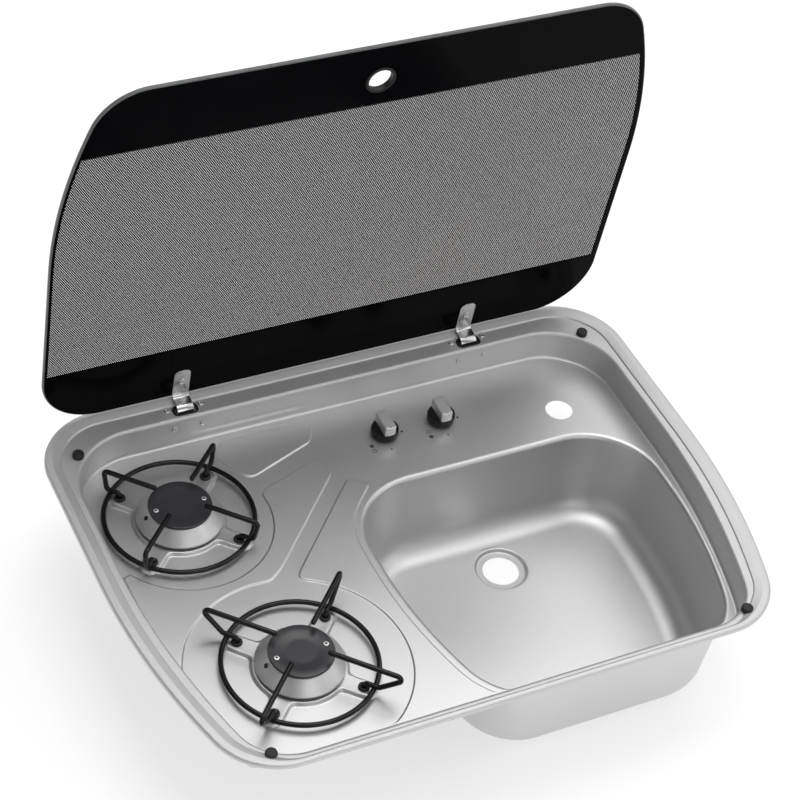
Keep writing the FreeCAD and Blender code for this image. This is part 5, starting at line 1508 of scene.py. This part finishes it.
@dataclass
class Burner:
    """Gas burner: aluminium flame skirt, enamelled cap with two screws, and the trivet's grommets."""

    name: str
    centre: Point
    base: float = -28.0
    foot_radius: float = 33.0
    skirt_radius: float = 40.3
    skirt_edge: tuple[float, float] = (-24.9, -23.3)
    skirt_top_radius: float = 29.0
    skirt_top: float = -11.8
    neck_radius: float = 27.0
    neck_top: float = -10.5
    bore: float = 20.0
    cap_radius: float = 29.6
    cap_top: float = -8.6
    cap_round: float = 0.9
    dish_radius: float = 18.5
    dish_half: float = 4.5
    dish_depth: float = 0.9
    dish_round: float = 40.0
    cap_foot_round: float = 0.3
    skirt_rounds: tuple[float, ...] = (0.0, 0.3, 0.3, 0.5, 0.9, 1.0, 0.3, 0.0, 0.0)
    screw_spread: float = 23.3
    screw_sink: float = 0.35
    screw_profile: tuple[Point, ...] = (
        (0.0, -12.0), (1.5, -12.0), (1.5, 0.0), (2.45, 0.0), (2.45, 0.3), (2.2, 0.5), (1.25, 0.5),
        (1.0, -0.2), (0.0, -0.2))
    probe_spread: float = 32.0
    probe_top: float = -14.0
    probe_radius: float = 2.35
    probe_round: float = 1.4
    grommet_radius: float = 5.2
    grommet_bore: float = 2.7
    grommet_top: float = -25.5
    grommet_rounds: tuple[float, ...] = (0.0, 0.0, 0.0, 0.3, 1.2, 0.6)
    sleeve_drop: float = 4.0
    sleeve_step: float = 1.3
    foot: float = 59.5

    def build(self) -> None:
        """Make the skirt, the cap, its screws, the black dome of painted shade at the probe's hole, and the
        grommets.
        """
        self.build_skirt()
        self.build_cap()
        self.build_screws()
        self.build_probe()
        self.build_grommets()

    def build_skirt(self) -> None:
        """Closed profile of the cone with a softened foot and crown, turned about the burner's axis."""
        low, high = self.skirt_edge
        corners = [(self.bore, self.base), (self.foot_radius, self.base), (self.foot_radius, low),
                   (self.skirt_radius, low), (self.skirt_radius, high),
                   (self.skirt_top_radius, self.skirt_top), (self.neck_radius, self.skirt_top),
                   (self.neck_radius, self.neck_top), (self.bore, self.neck_top)]
        profile = filleted(corners, self.skirt_rounds, 5, closed=True)
        piece = turned(np.vstack([profile, profile[:1]]), self.centre, 96).write(f"{self.name}_flame_skirt")
        dress(piece, ALUMINIUM, Body.TRAY, Slot.ALUMINIUM, f"{self.name}_burner_skirt")

    def build_cap(self) -> None:
        """Thin disc with a rounded rim and a shallow dish, turned about the burner's axis."""
        low, top = self.neck_top, self.cap_top
        corners = [(0.0, low), (self.cap_radius, low), (self.cap_radius, top),
                   (self.dish_radius + self.dish_half, top),
                   (self.dish_radius - self.dish_half, top - self.dish_depth), (0.0, top - self.dish_depth)]
        rounds = [0.0, self.cap_foot_round, self.cap_round, self.dish_round, self.dish_round, 0.0]
        profile = filleted(corners, rounds, 8)
        piece = turned(profile, self.centre, 96).write(f"{self.name}_flame_cap")
        dress(piece, CAP_ENAMEL, Body.TRAY, Slot.ENAMEL, f"{self.name}_burner_cap")

    def build_screws(self) -> None:
        """Two sunk screws in the cap's rim: a turned head with a round recess, on a plain shank."""
        head = np.array(self.screw_profile) + np.array([0.0, self.cap_top - self.screw_sink])
        pair = (turned(head, (self.centre[0] + side * self.screw_spread, self.centre[1]), 32)
                for side in (-1, 1))
        piece = joined(pair).write(f"{self.name}_cap_fixings")
        dress(piece, ZINC, Body.TRAY, Slot.ZINC, f"{self.name}_cap_screws")

    def build_probe(self) -> None:
        """Black dome over the probe's tip, painted shade for its hole in the skirt: a turned profile, round
        top.
        """
        corners = [(self.probe_radius, self.base), (self.probe_radius, self.probe_top), (0.0, self.probe_top)]
        profile = np.vstack([[(0.0, self.base)], filleted(corners, [0.0, self.probe_round, 0.0], 6)])
        place = (self.centre[0] - self.probe_spread, self.centre[1])
        piece = turned(profile, place, 32).write(f"{self.name}_probe_hole_shade")
        # The dome's black enamel is painted shade for the probe's hole in the skirt, which is not cut.
        dress(piece, ENAMEL, Body.TRAY, Slot.ENAMEL)

    def build_grommets(self) -> None:
        """Four rubber rings on the star's spokes: a rounded flange over a sleeve through the pan."""
        low, sleeve = self.base - self.sleeve_drop, self.grommet_radius - self.sleeve_step
        corners = [(self.grommet_bore, low), (sleeve, low), (sleeve, self.base),
                   (self.grommet_radius, self.base), (self.grommet_radius, self.grommet_top),
                   (self.grommet_bore, self.grommet_top)]
        profile = filleted(corners, self.grommet_rounds, 5, closed=True)
        reach = self.foot / math.sqrt(2.0)
        places = [(self.centre[0] + across * reach, self.centre[1] + along * reach)
                  for across, along in ((1, 1), (-1, 1), (-1, -1), (1, -1))]
        rings = (turned(np.vstack([profile, profile[:1]]), place, 32) for place in places)
        piece = joined(rings).write(f"{self.name}_grommet_set")
        dress(piece, RUBBER, Body.TRAY, Slot.RUBBER, f"{self.name}_trivet_grommets")


@dataclass
class Knob:
    """Push-and-turn knob: a round black base with finger scoops, and a silver bar across it."""

    name: str
    centre: Point
    body: Body
    base: float = -27.0
    radius: float = 13.6
    height: float = 6.0
    edge_round: float = 1.4
    edge_land: float = 0.3
    scoop_depth: float = 2.4
    scoop_middle: float = 9.6
    scoop_half: float = 3.9
    bore_radius: float = 4.1
    bore_depth: float = 4.0
    bar_half: float = 5.7
    bar_reach: float = 13.0
    bar_top: float = -11.0
    bar_sink: float = 1.0
    bar_round: float = 0.7
    bar_pitch: float = 0.7
    bar_softness: float = 0.5
    spine_scale: tuple[float, float, float] = (0.02, 0.75, 0.0)
    dot_radius: float = 0.55
    dot_inset: float = 3.0
    dot_levels: Point = (-0.05, 0.04)
    spring_radius: float = 6.2
    spring_wire: float = 0.7
    spring_turns: int = 4
    spring_steps: int = 24
    push_travel: float = 3.5

    def build(self) -> None:
        """Make the base, the bar, its dot and the return spring under it."""
        self.build_base()
        self.build_bar()
        self.build_dot()
        self.build_spring()

    def build_base(self) -> None:
        """Disc on a polar grid: the top sinks beside the bar by a half cosine across each scoop.

        Inside the rounded rim the height is top - d (1 + cos(pi u)) / 2, where u goes from -1 to 1 across
        the scoop between the bar and the rim.
        """
        top = self.base + self.height
        corners = [(self.radius, self.base), (self.radius, top), (0.0, top)]
        rim = filleted(corners, [0.0, self.edge_round, 0.0], 6)
        inner = np.linspace(self.radius - self.edge_round - self.edge_land, 0.0, 22)
        radius = np.concatenate([rim[:-1, 0], inner])
        level = np.concatenate([rim[:-1, 1], np.full(len(inner), top)])
        angle = round_angles(96)
        across, along = radius[:, None] * np.cos(angle), radius[:, None] * np.sin(angle)
        share = (np.abs(across) - self.scoop_middle) / self.scoop_half
        scoop = self.scoop_depth * 0.5 * (1 + np.cos(math.pi * np.clip(share, -1.0, 1.0)))
        fade = smoothstep((level - self.base)[:, None] / self.height * 2.0 - 1.0)
        points = np.stack([across + self.centre[0], along + self.centre[1],
                           level[:, None] - scoop * fade], axis=-1)
        disc = Surface.grid(points, wrap_columns=True)
        roof = self.base + self.bore_depth
        under = turned(np.array([(self.radius, self.base), (self.bore_radius, self.base),
                                 (self.bore_radius, roof), (0.0, roof)]), self.centre, 96)
        piece = (disc + under).write(f"{self.name}_knob_base")
        dress(piece, BLACK_PLASTIC, self.body, Slot.BLACK, f"{self.name}_knob_skirt")

    def build_bar(self) -> None:
        """Bar whose ends follow the base's circle: its outline, moved in row by row over a rounded top."""
        end = math.asin(self.bar_half / self.bar_reach)
        angle = np.linspace(-end, end, 13) + math.pi / 2
        crown = self.bar_reach * np.stack([np.cos(angle), np.sin(angle)], axis=-1)
        outline = filleted(np.vstack([crown, -crown]), 0.0, closed=True)
        outline = eased_loop(outline.tolist(), self.bar_pitch, self.bar_softness)
        low = self.base + self.height - self.bar_sink
        corners = [(0.0, low), (0.0, self.bar_top), (self.bar_half, self.bar_top)]
        profile = filleted(corners, [0.0, self.bar_round, 0.0], 6)
        normals = outwards(outline)
        rows = [np.column_stack([outline - inset * normals, np.full(len(outline), level)])
                for inset, level in profile[:-1]]
        spine = rows[-1] * np.array(self.spine_scale) + self.bar_top * UP
        foot = rows[0] * np.array(self.spine_scale) + low * UP
        bar = Surface.grid(np.stack([foot, *rows, spine]), wrap_columns=True)
        caps = Surface.grid(np.stack([spine, spine * np.array([0.0, 1.0, 1.0])]), wrap_columns=True)
        piece = (bar + caps).moved(np.eye(3), (*self.centre, 0.0)).write(f"{self.name}_knob_bar")
        dress(piece, GREY_PLASTIC, self.body, Slot.GREY, f"{self.name}_knob_grip")

    def build_dot(self) -> None:
        """Small printed dot on the bar's top, near its front end: a thin disc."""
        place = (self.centre[0], self.centre[1] - self.bar_reach + self.dot_inset)
        low, high = (self.bar_top + level for level in self.dot_levels)
        profile = np.array([(0.0, low), (self.dot_radius, low), (self.dot_radius, high), (0.0, high)])
        piece = turned(profile, place, 20).write(f"{self.name}_knob_dot")
        dress(piece, INK, self.body, Slot.BLACK)

    def build_spring(self) -> None:
        """Return spring: wire along (r cos a, r sin a) that rises evenly."""
        node = f"{self.name}_spindle_spring"
        low, high = (1000.0 * np.array(corner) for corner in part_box(node))
        middle = (low + high) / 2.0
        steps = self.spring_steps * self.spring_turns
        angle = np.linspace(0.0, 2.0 * math.pi * self.spring_turns, steps + 1)
        rise = np.linspace(low[2] + self.spring_wire, high[2] - self.spring_wire, len(angle))
        path = np.stack([middle[0] + self.spring_radius * np.cos(angle),
                         middle[1] + self.spring_radius * np.sin(angle), rise], axis=-1)
        piece = wire(path, UP, self.spring_wire, 12).write(f"{self.name}_return_spring")
        dress(piece, SPRING_STEEL, Body.TRAY, Slot.SPRING, node)
        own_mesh(piece)


@dataclass
class Marks:
    """Printed marks beside one knob: an off dot, a flame, and two rings of which one is filled."""

    name: str
    knob: Point
    filled_rear: bool
    level: float = -31.0
    height: float = 0.06
    off_place: Point = (-1.6, -21.1)
    off_radius: float = 1.0
    flame_place: Point = (17.8, -1.8)
    flame_half: Point = (1.7, 2.0)
    pair_place: Point = (-18.3, -14.7)
    pair_half: float = 3.4
    ring_radius: float = 2.2
    ring_line: float = 0.55

    def disc(self, shift: Point, radius: float, bore: float = 0.0) -> Surface:
        """Thin disc or ring at a place from the knob's axis.

        Args:
            shift: Place from the axis.
            radius: Radius of the mark.
            bore: Radius of its hole, 0 for a disc.

        Returns:
            The closed mark.
        """
        place = (self.knob[0] + shift[0], self.knob[1] + shift[1])
        low, high = self.level, self.level + self.height
        rows = [(bore, low), (radius, low), (radius, high), (bore, high)] + ([(bore, low)] if bore else [])
        return turned(np.array(rows), place, 28)

    def flame(self) -> Surface:
        """Drop outline, (w sin t (1 - cos t) / 2, h cos t), raised into a thin plate with closed faces.

        Returns:
            The closed mark.
        """
        turn = round_angles(28)
        wide, tall = self.flame_half
        loop = np.stack([wide * np.sin(turn) * (1 - np.cos(turn)) / 2, tall * np.cos(turn)], axis=-1)
        loop = loop + np.asarray(self.knob) + np.asarray(self.flame_place)
        spine = loop * 0.0 + loop.mean(axis=0)
        low, high = self.level, self.level + self.height
        return stacked([spine, loop, loop, spine], [low, low, high, high])

    def build(self) -> None:
        """Make the marks as one piece."""
        x, y = self.pair_place
        ends = {True: (x, y + self.pair_half), False: (x, y - self.pair_half)}
        bore = self.ring_radius - self.ring_line
        marks = joined([self.disc(self.off_place, self.off_radius), self.flame(),
                        self.disc(ends[self.filled_rear], self.ring_radius),
                        self.disc(ends[not self.filled_rear], self.ring_radius, bore)])
        dress(marks.write(f"{self.name}_knob_marks"), INK, Body.TRAY, Slot.BLACK)


@dataclass
class Hinges:
    """Bent straps that carry the lid, the liners of their slots, and the screws that hold them."""

    spread: float = 150.0
    strap_half: float = 8.25
    strap_thick: float = 1.6
    strap_mid: float = 8.9
    strap_tip: float = -45.7
    tip_round: float = 6.5
    knuckle: float = 2.9
    pin_bore: float = 1.65
    screw_y: float = -29.7
    liner_outer: Point = (12.6, 6.7)
    liner_inner: Point = (9.6, 4.6)
    liner_y: float = 199.0
    liner_low: float = -2.5
    liner_high: float = 2.5
    ledge_screws: tuple[float, float, float] = (17.0, 202.5, 1.5)
    wall_screws: tuple[float, float, float] = (14.0, 188.5, -10.5)
    strap_screw: Screw = Screw(3.6, 1.8, 2.0, 5.6)
    ledge_screw: Screw = Screw(3.1, 1.7, 1.5, 6.0)
    wall_screw: Screw = Screw(2.9, 1.6, 1.5, 6.0)
    nut: tuple[Point, ...] = ((0.0, 0.0), (3.6, 0.0), (3.6, 1.1), (3.2, 1.5), (0.0, 1.5))
    strap_bends: tuple[float, ...] = (0.0, 5.0, 7.0, 1.5, 0.0)
    strap_overlap: float = 0.3
    edge_round: float = 0.4
    liner_wall: float = 0.7
    liner_edge: float = 0.5
    liner_lip: float = 0.4
    liner_rounds: tuple[float, ...] = (1.7, 1.7, 5.0, 5.0, 4.5, 1.4, 1.0, 1.0)

    def build(self) -> None:
        """Make both straps, both liners and the screws."""
        lid = Lid()
        for side, sign in (("left", -1.0), ("right", 1.0)):
            strap = lid.opened(self.strap(sign * self.spread))
            dress(strap.write(f"{side}_bent_strap", crease=50.0), BRIGHT_STEEL, Body.LID, Slot.ZINC,
                  f"{side}_hinge_strap")
            dress(self.liner(sign * self.spread).write(f"{side}_slot_frame"), BLACK_PLASTIC, Body.TRAY,
                  Slot.BLACK, f"{side}_slot_liner")
        self.build_screws(lid)

    def strap(self, middle: float) -> Surface:
        """Strip swept along its bent side view, in the lid's frame with the lid shut, and its knuckle.

        A point is the path's place plus u times its normal, u and x going round a rounded oblong; near the
        tip the oblong narrows so that the corners are quarter circles.

        Args:
            middle: Place along the hinge axis.

        Returns:
            The strap's closed surface.
        """
        reach = self.strap_mid
        path = filleted([(self.strap_tip, reach), (-reach, reach), (-reach, -reach), (0.0, -reach),
                         (0.0, -self.knuckle + self.strap_overlap)], self.strap_bends, 12)
        tip = self.strap_tip + self.tip_round * (1 - np.cos(np.radians(np.linspace(0.0, 90.0, 14))))
        path = np.vstack([np.column_stack([tip, np.full(len(tip), reach)]), path[1:]])
        way = unit(np.gradient(path, axis=0))
        normal = np.stack([-way[:, 1], way[:, 0]], axis=-1)
        gone = np.clip(path[:, 0] - self.strap_tip, 0.0, self.tip_round)
        half = self.strap_half - self.tip_round + np.sqrt(self.tip_round ** 2 - (self.tip_round - gone) ** 2)
        ring = oblong((0.0, 0.0), (self.strap_half, self.strap_thick / 2), self.edge_round, 3)
        across = middle + ring[:, 0] * (half / self.strap_half)[:, None]
        spots = path[:, None] + ring[:, 1:] * normal[:, None]
        body = np.concatenate([across[..., None], spots], axis=-1)
        ends = [np.broadcast_to(row.mean(axis=0), row.shape) for row in (body[0], body[-1])]
        strip = Surface.grid(np.concatenate([ends[:1], body, ends[1:]]), wrap_columns=True)
        half = self.strap_half
        corners = [(self.pin_bore, -half), (self.knuckle, -half), (self.knuckle, half), (self.pin_bore, half)]
        profile = filleted(corners, [0.0, self.edge_round, self.edge_round, 0.0], 4, closed=True)
        lying = np.array([[0.0, 0.0, 1.0], [1.0, 0.0, 0.0], [0.0, 1.0, 0.0]])
        return strip + turned(np.vstack([profile, profile[:1]]), steps=40).moved(lying, (middle, 0.0, 0.0))

    def liner(self, middle: float) -> Surface:
        """Frame with a rounded flange on the ledge and a wall down through the slot.

        Args:
            middle: Place along the hinge axis.

        Returns:
            The closed frame.
        """
        outer, inner = np.array(self.liner_outer), np.array(self.liner_inner)
        wall, edge, lip = inner + self.liner_wall, self.liner_edge, self.liner_lip
        halves = [wall, wall, outer, outer, outer - edge, inner + lip, inner, inner]
        low, high, ledge = self.liner_low, self.liner_high, Tray.ledge
        levels = [low, ledge, ledge, high - edge, high, high, high - lip, low]
        loops = [oblong((middle, self.liner_y), half, corner, 6)
                 for half, corner in zip(halves, self.liner_rounds)]
        return stacked(loops, levels, wrap=True)

    def build_screws(self, lid: Lid) -> None:
        """Strap screws that face the sink when the lid is open, and the screws in ledge and wall.

        Args:
            lid: Lid that the strap screws go through.
        """
        upright, flip = np.eye(3), np.diag([1.0, -1.0, -1.0])
        forward = np.array([[1.0, 0.0, 0.0], [0.0, 0.0, -1.0], [0.0, 1.0, 0.0]])
        seat = self.strap_mid - self.strap_thick / 2
        nut = turned(np.array(self.nut), steps=6)
        straps, brackets = [], []
        for middle in (-self.spread, self.spread):
            straps.append(self.strap_screw.surface().moved(flip, (middle, self.screw_y, seat)))
            straps.append(nut.moved(upright, (middle, self.screw_y, lid.face + lid.thickness)))
            for way in (-1.0, 1.0):
                for kind, turn, (spread, y, z) in ((self.ledge_screw, upright, self.ledge_screws),
                                                   (self.wall_screw, forward, self.wall_screws)):
                    brackets.append(kind.surface().moved(turn, (middle + way * spread, y, z)))
        dress(lid.opened(joined(straps)).write("strap_fixings"), BRIGHT_STEEL, Body.LID, Slot.ZINC,
              "hinge_strap_screws")
        dress(joined(brackets).write("bracket_fixings"), BRIGHT_STEEL, Body.TRAY, Slot.ZINC,
              "hinge_bracket_screws")


@dataclass
class Bumpers:
    """Rubber buttons on the ledge that the shut lid rests on."""

    places: tuple[Point, ...] = ((265.0, 172.7), (-265.0, 172.7), (230.9, -203.4), (-230.9, -203.4))
    radius: float = 5.4
    low: float = 1.5
    high: float = 6.7
    rounds: tuple[float, ...] = (0.0, 0.2, 1.8, 0.0)

    def build(self) -> None:
        """Turned buttons with a rounded crown."""
        corners = [(0.0, self.low), (self.radius, self.low), (self.radius, self.high), (0.0, self.high)]
        profile = filleted(corners, self.rounds, 7)
        buttons = joined(turned(profile, place, 40) for place in self.places)
        dress(buttons.write("lid_buttons"), RUBBER, Body.TRAY, Slot.RUBBER, "lid_bumpers")


class Underside:
    """CAD nodes that show as they are: hinge metal, gas taps, pipes and brackets."""

    def build(self) -> None:
        """Give every CAD node the finish of its record slot."""
        slots = {entry["node"]: entry["material_slot"] for entry in frame["record"]["subparts"]}
        for name, thing in frame["nodes"].items():
            material = FINISHES[Slot(slots[name])].material()
            thing.data.materials.clear()
            thing.data.materials.append(material)
            LOG.info("%s takes %s", name, material.name)


def main() -> None:
    """Build the studio and every sub-assembly in order."""
    logging.basicConfig(level=logging.INFO, format="%(name)s: %(message)s")
    rear, front = Tray.burners
    Studio().build()
    Underside().build()
    Tray().build()
    Lid().build()
    for trivet in (Trivet("rear", rear, 76.5, Body.REAR_SUPPORT),
                   Trivet("front", front, 97.0, Body.FRONT_SUPPORT)):
        trivet.build()
    for burner in (Burner("rear", rear), Burner("front", front)):
        burner.build()
    for knob in (Knob("left", (32.5, 136.5), Body.LEFT_KNOB),
                 Knob("right", (93.0, 136.5), Body.RIGHT_KNOB)):
        knob.build()
        Marks(knob.name, knob.centre, knob.name == "left").build()
    Hinges().build()
    Bumpers().build()


if __name__ == "__main__":
    main()
